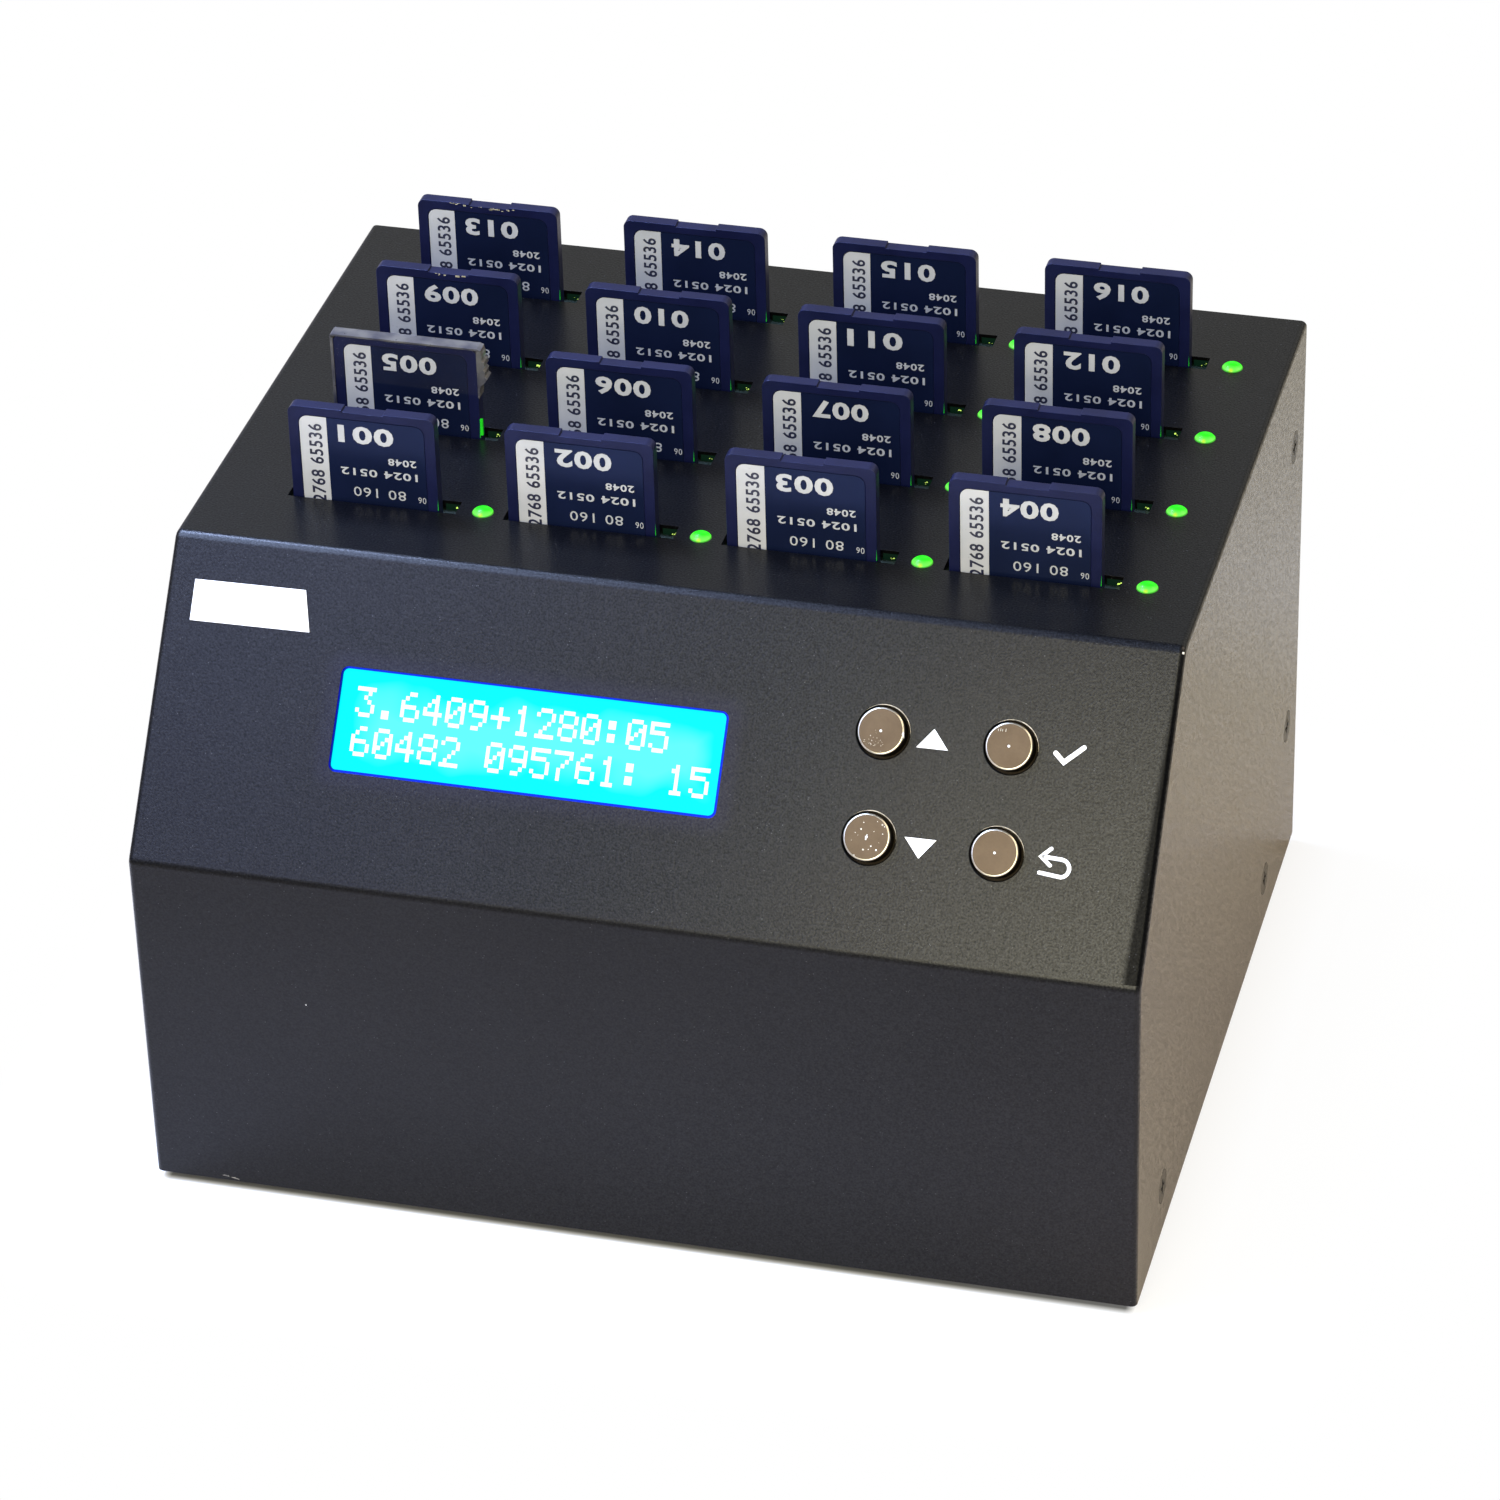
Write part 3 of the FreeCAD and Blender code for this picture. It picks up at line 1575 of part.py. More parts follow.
def make_fan_rotor():
    """The hub, its shaft and the pitched blades round it."""
    body = new_body("fan_rotor")
    play = size("fan_end_play")
    hub_high = size("fan_depth") - size("fan_hub_plate") - play
    hub_height = hub_high - play
    hub = sketch_on(body, "rotor_hub_outline", "XY_Plane", up=play)
    circle(hub, 0, 0, size("fan_hub"))
    pad(body, "rotor_hub", hub, hub_height)
    shaft = sketch_on(body, "rotor_shaft_outline", "XY_Plane", up=play)
    circle(shaft, 0, 0, size("fan_shaft"))
    pad(body, "rotor_shaft", shaft, size("fan_depth") - 2 * play)
    pitch = size("blade_pitch")
    half_thick = size("blade_thickness") / 2
    half_chord = size("blade_chord") / 2
    middle = play + hub_height / 2
    root = size("fan_hub") / 2 - size("blade_thickness")
    corners = []
    for chord_side, thick_side in ((-1, -1), (1, -1), (1, 1), (-1, 1)):
        along = chord_side * half_chord
        through = thick_side * half_thick
        u = along * sine(pitch) + through * cosine(pitch)
        v = middle + along * cosine(pitch) - through * sine(pitch)
        corners.append((u, v))
    blade_profile = sketch_on(body, "rotor_blade_outline", "YZ_Plane", out=root)
    outline(blade_profile, corners)
    tip = size("fan_bore") / 2 - size("fan_tip_play")
    blade = pad(body, "rotor_blade", blade_profile, tip - root)
    blades = body.newObject("PartDesign::PolarPattern", "rotor_blades")
    blades.Originals = [blade]
    blades.Axis = (datum_of(body, "Z_Axis"), [""])
    blades.Angle = 360
    blades.Occurrences = FAN_BLADES
    body.Tip = blades
    turn(body, (1, 0, 0), 90)
    in_case(body, fan_across, rear_inside, size("fan_up"))


def make_fan_screws():
    screws = []
    for k, (across, up) in enumerate(fan_hole_places()):
        screw = pan_screw(
            f"fan_screw_{k + 1}",
            size("screw_diameter"),
            size("screw_head"),
            size("pan_head_height"),
            size("fan_screw_length"),
        )
        turn(screw, (1, 0, 0), 90)
        screws.append(in_case(screw, fan_across + across, rear_face, size("fan_up") + up))
    group("fan_screws", screws)


# Leads from the inlet, the switch and the fan to the controller board


def lead(name, corners):
    """A round insulated wire along straight runs with an arc at every corner."""
    points = [FreeCAD.Vector(*(as_size(value).value for value in corner)) for corner in corners]
    bend = size("lead_bend").value
    edges = []
    start = points[0]
    for before, corner, after in zip(points, points[1:], points[2:]):
        inward = (before - corner).normalize()
        onward = (after - corner).normalize()
        half_turn = (math.pi - inward.getAngle(onward)) / 2
        setback = bend * math.tan(half_turn)
        arc_start = corner + inward * setback
        arc_end = corner + onward * setback
        bulge = (inward + onward).normalize() * (bend / math.cos(half_turn) - bend)
        edges.append(Part.LineSegment(start, arc_start).toShape())
        edges.append(Part.Arc(arc_start, corner + bulge, arc_end).toShape())
        start = arc_end
    edges.append(Part.LineSegment(start, points[-1]).toShape())
    path = Part.Wire(edges)
    ring = Part.Circle(points[0], points[1] - points[0], size("lead_diameter").value / 2).toShape()
    item = doc.addObject("Part::Feature", name)
    item.Shape = path.makePipeShell([Part.Wire(ring)], True, False)
    return item


def make_leads():
    """Two leads from the inlet, one from the switch and one from the fan."""
    board = controller_top()
    end = size("controller_front") + size("controller_width") - size("lead_inset")
    jack_back = rear_face - size("jack_length")
    switch_back = rear_face - size("power_body_depth")
    jack_x = jack_across
    jack_z = size("jack_up")
    switch_x = power_across
    switch_z = size("power_up")
    spread = size("lead_spread")
    turn_y = switch_back - size("lead_loop")
    board_side = size("controller_across") + size("controller_length") / 2 - size("lead_inset")
    jack_to_switch = [
        (jack_x, jack_back, jack_z + spread),
        (jack_x, turn_y, jack_z + spread),
        (switch_x, turn_y, switch_z + spread),
        (switch_x, switch_back, switch_z + spread),
    ]
    switch_to_board = [
        (switch_x, switch_back, switch_z - spread),
        (switch_x, end, switch_z - spread),
        (switch_x, end, board),
    ]
    jack_to_board = [
        (jack_x, jack_back, jack_z - spread),
        (jack_x, end - size("lead_loop"), jack_z - spread),
        (board_side, end - size("lead_loop"), jack_z - spread),
        (board_side, end - size("lead_loop"), board),
    ]
    pieces = [
        lead("lead_inlet_to_switch", jack_to_switch),
        lead("lead_switch_to_board", switch_to_board),
        lead("lead_inlet_to_board", jack_to_board),
    ]
    in_case(group("power_leads", pieces))
    fan_x = fan_across - size("fan_hole_pitch") / 2 + size("lead_spread")
    fan_z = size("fan_up") - size("fan_side") / 2 + size("lead_spread")
    fan_run = [
        (fan_x, rear_inside - size("fan_depth"), fan_z),
        (fan_x, end, fan_z),
        (fan_x, end, board),
    ]
    in_case(node("fan_lead", lead("fan_lead", fan_run)))


# Build every sub-part

make_cover()
make_chassis()
make_feet()
make_cover_screws()
make_label()
make_display()
for button, (across, up) in button_places().items():
    make_button(button, across, up)
make_button_board()
make_panel_posts()
make_slot_board()
light_pipes = []
for row in range(ROWS):
    make_sockets(row)
    for column in range(COLUMNS):
        make_card(column, row)
        light_pipes.append(make_light_pipe(column, row))
in_case(group("light_pipes", light_pipes))
make_status_lamps()
make_slot_posts()
make_controller()
group("board_screws", board_screws)
make_headers()
make_slot_cable()
make_display_cable()
make_power_jack()
make_power_switch()
make_rocker()
make_fan_frame()
make_fan_rotor()
make_fan_screws()
make_leads()
doc.recompute()

# Check everything before any file is written

failed = [item.Name for item in doc.Objects if {"Invalid", "Error"} & set(item.State)]
if failed:
    raise SystemExit(f"these objects failed to build: {failed}")
for item in nodes:
    if item.Shape.isNull() or not item.Shape.isValid():
        raise SystemExit(f"{item.Label} has no valid shape")

os.makedirs("parts", exist_ok=True)
for item in nodes:
    item.Shape.exportStep(f"parts/{item.Label}.step")
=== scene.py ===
import json
import math
import random

import bmesh
import bpy
from mathutils import Matrix, Vector

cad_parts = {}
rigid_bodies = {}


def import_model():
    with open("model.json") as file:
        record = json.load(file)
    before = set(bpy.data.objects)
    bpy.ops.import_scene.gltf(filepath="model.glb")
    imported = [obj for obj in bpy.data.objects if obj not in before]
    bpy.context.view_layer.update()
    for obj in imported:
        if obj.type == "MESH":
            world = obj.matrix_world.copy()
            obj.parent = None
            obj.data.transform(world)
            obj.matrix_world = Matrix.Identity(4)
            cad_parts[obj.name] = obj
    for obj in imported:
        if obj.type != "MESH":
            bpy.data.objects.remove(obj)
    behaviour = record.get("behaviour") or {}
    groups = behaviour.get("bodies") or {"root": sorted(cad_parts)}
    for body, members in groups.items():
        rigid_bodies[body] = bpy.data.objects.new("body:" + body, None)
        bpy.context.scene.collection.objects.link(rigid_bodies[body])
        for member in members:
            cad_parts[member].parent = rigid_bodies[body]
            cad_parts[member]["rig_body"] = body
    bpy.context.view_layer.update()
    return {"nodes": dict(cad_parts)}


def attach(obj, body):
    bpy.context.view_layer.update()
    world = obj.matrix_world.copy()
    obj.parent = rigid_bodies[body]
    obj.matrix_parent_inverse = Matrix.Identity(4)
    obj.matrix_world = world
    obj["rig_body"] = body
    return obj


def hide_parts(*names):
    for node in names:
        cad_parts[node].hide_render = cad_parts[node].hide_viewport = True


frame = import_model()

# Camera: a long lens in front of the machine and a little to its right, looking down at it,
# and tilted a degree and a half as it was held by hand.

camera_azimuth = math.radians(15.48)
camera_elevation = math.radians(33.31)
camera_roll = math.radians(-1.71)
camera_back = Vector((
    math.sin(camera_azimuth) * math.cos(camera_elevation),
    -math.cos(camera_azimuth) * math.cos(camera_elevation),
    math.sin(camera_elevation),
))
level_right = Vector((math.cos(camera_azimuth), math.sin(camera_azimuth), 0.0))
level_up = camera_back.cross(level_right)
camera_right = math.cos(camera_roll) * level_right + math.sin(camera_roll) * level_up
camera_up = math.cos(camera_roll) * level_up - math.sin(camera_roll) * level_right
lens = bpy.data.cameras.new("front_camera")
lens.sensor_width = 36.0
lens.lens = 147.13
camera = bpy.data.objects.new("front_camera", lens)
bpy.context.scene.collection.objects.link(camera)
camera.matrix_world = Matrix.Translation((0.2248, -0.8056, 0.5991)) @ (
    Matrix((camera_right, camera_up, camera_back)).transposed().to_4x4()
)
bpy.context.scene.camera = camera
bpy.context.scene.view_settings.view_transform = "Standard"

# Studio floor: a wide sheet of matt white paper. It keeps the machine's shadow, and a painted shadow darkens the gap
# under it; it fades to plain white further out. Seen only in reflections, it is painted dimmer and tan, a painted
# reflection on the machine.

def fed(node, inputs):
    """The node, with each input linked to another node's output or set to a value."""
    for key, feed in inputs.items() if isinstance(inputs, dict) else enumerate(inputs):
        socket = node.inputs[key]
        if isinstance(feed, bpy.types.NodeSocket):
            node.id_data.links.new(feed, socket)
        else:
            socket.default_value = (*feed, 1.0) if socket.type == "RGBA" else feed
    return node


def made(tree, kind, inputs=(), out=0, **settings):
    """One output of a new node."""
    node = tree.nodes.new(kind if "Node" in kind else "ShaderNode" + kind)
    for key, value in settings.items():
        setattr(node, key, value)
    return fed(node, inputs).outputs[out]


def maths(tree, operation, *inputs):
    return made(tree, "Math", inputs, operation=operation)


def vectors(tree, operation, *inputs, out=0):
    return made(tree, "VectorMath", inputs, out, operation=operation)


def ranged(tree, value, low, high, first=0.0, last=1.0, **settings):
    """A value carried over from one range to another."""
    return made(tree, "MapRange", (value, low, high, first, last), **settings)


def blended(tree, share, first, last):
    """A colour between two others."""
    return made(tree, "Mix", {0: share, 6: first, 7: last}, 2, data_type="RGBA")


def levels_over(tree, value, stops):
    """The grey level or the colour that a ramp gives a value."""
    ramp = made(tree, "ValToRGB", [value])
    elements = ramp.node.color_ramp.elements
    for position, level in stops[1:-1]:
        elements.new(position)
    for element, (position, level) in zip(elements, stops):
        element.position, element.color = position, (*(level if isinstance(level, tuple) else [level] * 3), 1.0)
    return ramp


def beyond_box(tree, place, half):
    """How far a place lies past a centred box along each axis, and its distance from the box."""
    past = vectors(tree, "SUBTRACT", vectors(tree, "ABSOLUTE", place), half)
    return past, vectors(tree, "LENGTH", vectors(tree, "MAXIMUM", past), out=1)


floor_mesh = bpy.data.meshes.new("paper_floor")
work = bmesh.new()
bmesh.ops.create_circle(work, cap_ends=True, segments=96, radius=10.0)
work.to_mesh(floor_mesh)
work.free()
floor = bpy.data.objects.new("paper_floor", floor_mesh)
bpy.context.scene.collection.objects.link(floor)

paper = bpy.data.materials.new("white_paper")
paper.use_nodes = True
tree = paper.node_tree
tree.nodes.clear()
place = made(tree, "TexCoord", out="Object")
x, y = made(tree, "SeparateXYZ", [place]).node.outputs[:2]
reach = beyond_box(tree, place, (0.08, 0.069, 0.0))[1]
outward = ranged(tree, reach, 0.0, 0.035)
fade = levels_over(tree, outward, [(0.0, 0.15), (0.05, 0.3), (0.14, 0.82), (0.4, 0.96), (1.0, 1.0)])
beside_it = ranged(tree, x, 0.03, 0.09, 0.0, 0.95)
rays = made(tree, "LightPath").node.outputs
seen = maths(tree, "MULTIPLY", rays["Is Camera Ray"], maths(tree, "MAXIMUM", fade, beside_it))
mirrored = maths(tree, "MAXIMUM", rays["Is Glossy Ray"], rays["Is Transmission Ray"])
far_out = ranged(tree, reach, 0.02, 0.2)
plain_share = maths(tree, "MAXIMUM", seen, maths(tree, "MULTIPLY", mirrored, far_out))

# Painted reflection: rays mirrored off the machine see this paper dimmer and tan to its right, with a step behind that
# evens out a lamp's cast shadow.
grey = blended(tree, mirrored, (0.95, 0.95, 0.95), (0.77, 0.73, 0.72))
warm = levels_over(tree, ranged(tree, y, 0.0, 0.2), [
    (0.08, (0.82, 0.75, 0.72)), (0.3, (0.94, 0.86, 0.78)), (0.335, (0.77, 0.65, 0.46)),
    (0.55, (0.68, 0.58, 0.4)), (0.75, (0.78, 0.71, 0.57)),
])
warmth = maths(tree, "MULTIPLY", ranged(tree, x, 0.03, 0.09), mirrored)
shade = blended(tree, warmth, grey, warm)
# Painted shadow: the paper inside the machine's footprint is painted dark grey, darkening the gap under it.
across, along = made(tree, "SeparateXYZ", [vectors(tree, "ABSOLUTE", place)]).node.outputs[:2]
shadow_inside_sides = ranged(tree, across, 0.0785, 0.08, 1.0, 0.0)
shadow_inside_ends = ranged(tree, along, 0.0679, 0.0693, 1.0, 0.0)
shaded = blended(tree, maths(tree, "MULTIPLY", shadow_inside_sides, shadow_inside_ends), shade, (0.16, 0.16, 0.155))
matt = made(tree, "BsdfDiffuse", [shaded])
plain = made(tree, "Emission", [shaded, 1.0 / 0.95])
fed(tree.nodes.new("ShaderNodeOutputMaterial"), [made(tree, "MixShader", [plain_share, matt, plain])])
floor.data.materials.append(paper)

# Studio light: a small warm box at the front right, cool boxes to the left and above, a wide
# window on each side, and a dim room that is darkest at its top and along its floor.

def soft_window(name, place, aim, side, power, colour, high=None):
    """A soft light at a place, turned towards a point, square unless its height is given."""
    light = bpy.data.lights.new(name, "AREA")
    light.shape = "RECTANGLE"
    light.size = side
    light.size_y = high or side
    light.energy = power
    light.color = colour
    item = bpy.data.objects.new(name, light)
    bpy.context.scene.collection.objects.link(item)
    item.location = place
    item.rotation_euler = (Vector(aim) - Vector(place)).to_track_quat("-Z", "Y").to_euler()
    item.visible_camera = False


soft_window("warm_box", (0.07, -0.43, 0.30), (0.04, -0.06, 0.07), 0.24, 2.0, (1.0, 0.92, 0.62))
soft_window("cool_box", (-0.26, 0.12, 0.56), (-0.07, -0.04, 0.1), 0.12, 3.2, (0.52, 0.65, 1.0))
soft_window("cool_tube", (-0.28, -0.12, 0.56), (-0.07, -0.04, 0.1), 0.4, 4.4, (0.52, 0.65, 1.0), 0.22)
soft_window("blue_box", (-0.25, -0.39, 0.44), (-0.04, -0.05, 0.08), 0.2, 0.55, (0.52, 0.6, 1.0))
soft_window("cool_window", (-1.3, -0.35, 1.2), (0.0, 0.0, 0.06), 0.9, 8.0, (0.9, 0.95, 1.0))
soft_window("warm_window", (0.9, 0.35, 0.9), (0.2, 0.05, 0.0), 0.7, 7.0, (1.0, 0.8, 0.6))

room = bpy.data.worlds.new("dim_room")
bpy.context.scene.world = room
room.use_nodes = True
tree = room.node_tree
tree.nodes.clear()
way = made(tree, "TexCoord", out="Generated")
y, z = made(tree, "SeparateXYZ", [way]).node.outputs[1:]
ahead = levels_over(tree, z, [(0.12, 0.05), (0.4, 0.68), (0.7, 0.68), (0.9, 0.45)])
behind = levels_over(tree, z, [(0.12, 0.05), (0.3, 0.82), (0.48, 0.8), (0.59, 0.25), (0.8, 0.08)])
level = blended(tree, ranged(tree, y, -0.2, 0.25), ahead, behind)
from_left = vectors(tree, "DOT_PRODUCT", way, (1.0, 0.25, 0.0), out=1)
tint = blended(tree, ranged(tree, from_left, -0.46, -0.24), (0.88, 0.95, 1.4), (1.01, 1.0, 0.93))
fed(tree.nodes.new("ShaderNodeOutputWorld"), [made(tree, "Background", [tint, level])])

# Cover: one sheet of 1.2 mm steel, folded and welded to a closed shell with a sloped front, and
# coated in a fine-textured black powder that is baked on. The punched edges are slightly eased.

foot_height = 1.6
fold_height = foot_height + 60.3
panel_lean = math.radians(51.5967)
window = {"across": -19.2, "up": 26.2, "width": 62.2, "height": 16.6, "corner": 1.2}


def eased(node, piece, material, width=0.00015, angle=28.0):
    """A merged, smoothly shaded copy of a CAD node with its hard edges eased. It stands for the node."""
    source = frame["nodes"][node]
    mesh = bpy.data.meshes.new(piece)
    work = bmesh.new()
    work.from_mesh(source.data)
    bmesh.ops.remove_doubles(work, verts=work.verts, dist=0.000002)
    flat = math.radians(0.3)
    bmesh.ops.dissolve_limit(work, angle_limit=flat, verts=work.verts, edges=work.edges)
    work.to_mesh(mesh)
    work.free()
    for attribute in [a.name for a in mesh.attributes if "normal" in a.name]:
        mesh.attributes.remove(mesh.attributes[attribute])
    mesh.materials.clear()
    mesh.materials.append(material)
    mesh.shade_smooth()
    mesh.set_sharp_from_angle(angle=math.radians(angle))
    item = bpy.data.objects.new(piece, mesh)
    bpy.context.scene.collection.objects.link(item)
    if width:
        bevel = item.modifiers.new("eased_edges", "BEVEL")
        bevel.width = width
        bevel.segments = 2
        bevel.limit_method = "ANGLE"
        bevel.angle_limit = math.radians(angle)
        bevel.harden_normals = True
    even = item.modifiers.new("even_faces", "WEIGHTED_NORMAL")
    even.keep_sharp = True
    bpy.context.view_layer.update()
    graph = bpy.context.evaluated_depsgraph_get()
    item.data = bpy.data.meshes.new_from_object(item.evaluated_get(graph))
    item.modifiers.clear()
    bpy.data.meshes.remove(mesh)
    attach(item, source["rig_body"])
    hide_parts(node)
    return item


def shader_of(material):
    return material.node_tree.nodes["Principled BSDF"]


def finish(name, tones, roughness, metallic=0.0, patches=40.0, grain=1200.0, relief=0.00001, gloss=0.5):
    """A finish whose colour drifts softly between two tones, with a fine grain in gloss and relief."""
    material = bpy.data.materials.new(name)
    material.use_nodes = True
    tree = material.node_tree
    spot = made(tree, "TexCoord", out="Object")
    drift = made(tree, "TexNoise", {"Vector": spot, "Scale": patches, "Detail": 3.0})
    fine = made(tree, "TexNoise", {"Vector": spot, "Scale": grain, "Detail": 2.0})
    fed(shader_of(material), {
        "Base Color": levels_over(tree, drift, [(0.35, tones[0]), (0.65, tones[1])]),
        "Metallic": metallic,
        "Roughness": ranged(tree, fine, 0.0, 1.0, roughness - 0.06, roughness + 0.06),
        "Specular IOR Level": gloss,
        "Normal": made(tree, "Bump", {"Strength": 1.0, "Distance": relief, "Height": fine}),
    })
    return material


cover_paint = finish(
    "black_powder_coat", ((0.0006, 0.0006, 0.0008), (0.0013, 0.0013, 0.0016)), 0.36,
    patches=35.0, grain=3100.0, relief=0.00004, gloss=0.22,
)
tree, shader = cover_paint.node_tree, shader_of(cover_paint)
tone = shader.inputs["Base Color"].links[0].from_socket
fine = shader.inputs["Roughness"].links[0].from_node.inputs[0].links[0].from_socket
spot = made(tree, "TexCoord", out="Object")
x, y, z = made(tree, "SeparateXYZ", [spot]).node.outputs
at_side = maths(tree, "GREATER_THAN", maths(tree, "ABSOLUTE", x), 0.0803)

# Its grain swings the gloss, more on the slope than on the front and most at its lower right.
grainy = ranged(tree, fine, 0.3, 0.7, -0.09, 0.09)
on_slope = ranged(tree, z, 0.061, 0.063, 0.45, 1.0)
low_right = vectors(tree, "DOT_PRODUCT", spot, (1.0, 0.0, -1.2), out=1)
amount = maths(tree, "MULTIPLY", on_slope, ranged(tree, low_right, -0.06, -0.01, 0.9, 1.4))
swing = maths(tree, "MULTIPLY_ADD", grainy, amount, 0.22)
pores = made(tree, "TexNoise", {"Vector": spot, "Scale": 2600.0, "Detail": 1.0})
drawn = vectors(tree, "MULTIPLY", spot, (1.0, 0.35, 1.0))
mottle = made(tree, "TexNoise", {"Vector": drawn, "Scale": 2300.0, "Detail": 2.0})
uneven = ranged(tree, pores, 0.3, 0.7, 0.38, 0.62)
side_coat = ranged(tree, mottle, 0.36, 0.64, 0.18, 0.82)
coat = made(tree, "Mix", {0: at_side, 2: uneven, 3: side_coat}, data_type="FLOAT")

# A strip along the slope's right edge has its reflection turned down, a painted shade for the dark band along the
# rounded edge. It widens downwards.
to_edge = vectors(tree, "DOT_PRODUCT", spot, (1.0, 0.0, -0.058), out=1)
above_front = maths(tree, "GREATER_THAN", z, 0.0625)
below_top = maths(tree, "LESS_THAN", z, 0.1025)
edge_shade_strip = maths(
    tree, "MULTIPLY", maths(tree, "MULTIPLY", above_front, below_top), ranged(tree, to_edge, 0.0736, 0.0745)
)
painted_edge_shade = maths(tree, "MULTIPLY", edge_shade_strip, ranged(tree, x, 0.08, 0.0804, 1.0, 0.0))
kept = ranged(tree, painted_edge_shade, 0.0, 1.0, 1.0, 0.2)

# Rare pale flecks lie in the powder, and dust clings to the sides.
flecks = made(tree, "TexVoronoi", {"Vector": spot, "Scale": 1500.0}, "Distance")
rare = made(tree, "TexNoise", {"Vector": spot, "Scale": 900.0, "Detail": 0.0})
speckle = maths(tree, "MULTIPLY", ranged(tree, flecks, 0.02, 0.16, 1.0, 0.0), ranged(tree, rare, 0.56, 0.7))
dust = maths(tree, "MULTIPLY", ranged(tree, mottle, 0.35, 0.7, 0.05, 0.3), at_side)

# A faint blue glow is painted on the coat round the window, painted light that stands for the display's light falling
# on it.
rise = 1.0 / math.sin(panel_lean)
from_window = vectors(
    tree, "MULTIPLY_ADD", spot, (1000.0, 0.0, 1000.0 * rise),
    (-window["across"], 0.0, -fold_height * rise - window["up"]),
)
reach = beyond_box(tree, from_window, (window["width"] / 2 - 1.0, 0.0, window["height"] / 2 - 1.0))[1]
painted_display_glow = ranged(tree, reach, 0.8, 5.0, 1.0, 0.0, interpolation_type="SMOOTHERSTEP")
fed(shader, {
    "Base Color": blended(tree, dust, blended(tree, speckle, tone, (0.07, 0.07, 0.075)), (0.12, 0.11, 0.1)),
    "Specular IOR Level": maths(tree, "MULTIPLY", swing, kept),
    "Specular Tint": (0.92, 0.94, 1.0),
    "Coat Weight": maths(tree, "MULTIPLY", coat, kept),
    "Coat Roughness": 0.22,
    "Coat IOR": 1.2,
    "Emission Color": (0.004, 0.004, 0.02),
    "Emission Strength": maths(tree, "MULTIPLY", painted_display_glow, above_front),
})
eased("top_cover", "painted_cover", cover_paint, width=0.0002)

# Chassis: floor, rear plate and flanges folded from zinc-plated sheet, on four rubber feet that
# are stuck on, with countersunk black screws through the cover's sides.

zinc = finish(
    "zinc_plate", ((0.45, 0.46, 0.47), (0.51, 0.52, 0.53)), 0.4,
    metallic=1.0, patches=260.0, grain=1500.0, relief=0.000006,
)
eased("base_chassis", "folded_chassis", zinc, width=0.00012)
rubber = finish(
    "black_rubber", ((0.016, 0.016, 0.016), (0.026, 0.026, 0.025)), 0.75,
    patches=300.0, grain=2500.0, relief=0.00002, gloss=0.3,
)
eased("rubber_feet", "stuck_on_feet", rubber, width=0.0003)
black_oxide = finish(
    "black_oxide", ((0.02, 0.02, 0.019), (0.04, 0.038, 0.035)), 0.45,
    patches=800.0, grain=3000.0, relief=0.000005, gloss=0.4,
)
eased("cover_screws", "countersunk_screws", black_oxide, width=0.00008)

# Label: a small plate of white plastic film, cut by hand a little out of square and stuck on the
# slope. It is left bare.

front_plane = -69.2198
panel_foot = Vector((0.0, front_plane, fold_height))
panel_across = Vector((1.0, 0.0, 0.0))
panel_rise = Vector((0.0, math.cos(panel_lean), math.sin(panel_lean)))
panel_out = Vector((0.0, -math.sin(panel_lean), math.cos(panel_lean)))


def on_panel(across, up, out=0.0):
    """A point on the slope, in metres, from millimetres across, up and out of it."""
    return (panel_foot + across * panel_across + up * panel_rise + out * panel_out) / 1000.0


def placed_mesh(name, points, faces, material):
    """A mesh object from finished points and faces that point outwards."""
    mesh = bpy.data.meshes.new(name)
    mesh.from_pydata(points, [], faces)
    mesh.materials.append(material)
    item = bpy.data.objects.new(name, mesh)
    bpy.context.scene.collection.objects.link(item)
    return item


def carried(item, body, node=None):
    """Let a piece ride a body. It stands for a node where one is named."""
    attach(item, body)
    if node:
        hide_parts(node)


def plate_faces(count, start=0, closed=True):
    """Faces of a plate whose points are its front outline and then its back outline."""
    front = [tuple(range(start, start + count))]
    back = [tuple(range(start + 2 * count - 1, start + count - 1, -1))] if closed else []
    ring = [(start + k, start + (k + 1) % count) for k in range(count)]
    return front + back + [(here, count + here, count + after, after) for here, after in ring]


white_film = finish(
    "white_film", ((0.80, 0.81, 0.83), (0.88, 0.88, 0.89)), 0.4,
    patches=150.0, grain=900.0, relief=0.000003,
)
label_outline = [(-75.95, 38.7), (-56.35, 38.95), (-57.85, 45.45), (-76.0, 45.2)]
label = placed_mesh(
    "bare_label", [on_panel(u, v, out) for out in (0.14, 0.0) for u, v in label_outline], plate_faces(4), white_film
)
bevel = label.modifiers.new("eased_edges", "BEVEL")
bevel.width = 0.00004
carried(label, "case", "front_label")

# Key symbols: screen-printed in white ink beside each button, a hair above the powder coat.
# They are two arrowheads, a tick and a return arrow.

def stroke(points, width, steps=6):
    """The outline of a round-ended line of one width along the points."""
    half = width / 2
    path = [Vector(point) for point in points]
    ways = [(b - a).normalized() for a, b in zip(path, path[1:])]
    left, right = [], []
    for k, point in enumerate(path):
        before = ways[max(k - 1, 0)]
        after = ways[min(k, len(ways) - 1)]
        middle = (before + after).normalized()
        side = Vector((-middle.y, middle.x)) * half / max(middle.dot(after), 0.5)
        left.append(point + side)
        right.append(point - side)
    def cap(centre, way, sign):
        start = math.atan2(way.y, way.x) + math.pi / 2 * sign
        turns = [start - math.pi * k / steps for k in range(1, steps)]
        return [centre + half * Vector((math.cos(turn), math.sin(turn))) for turn in turns]
    outline = left + cap(path[-1], ways[-1], 1) + right[::-1] + cap(path[0], ways[0], -1)
    return [tuple(point) for point in outline][::-1]


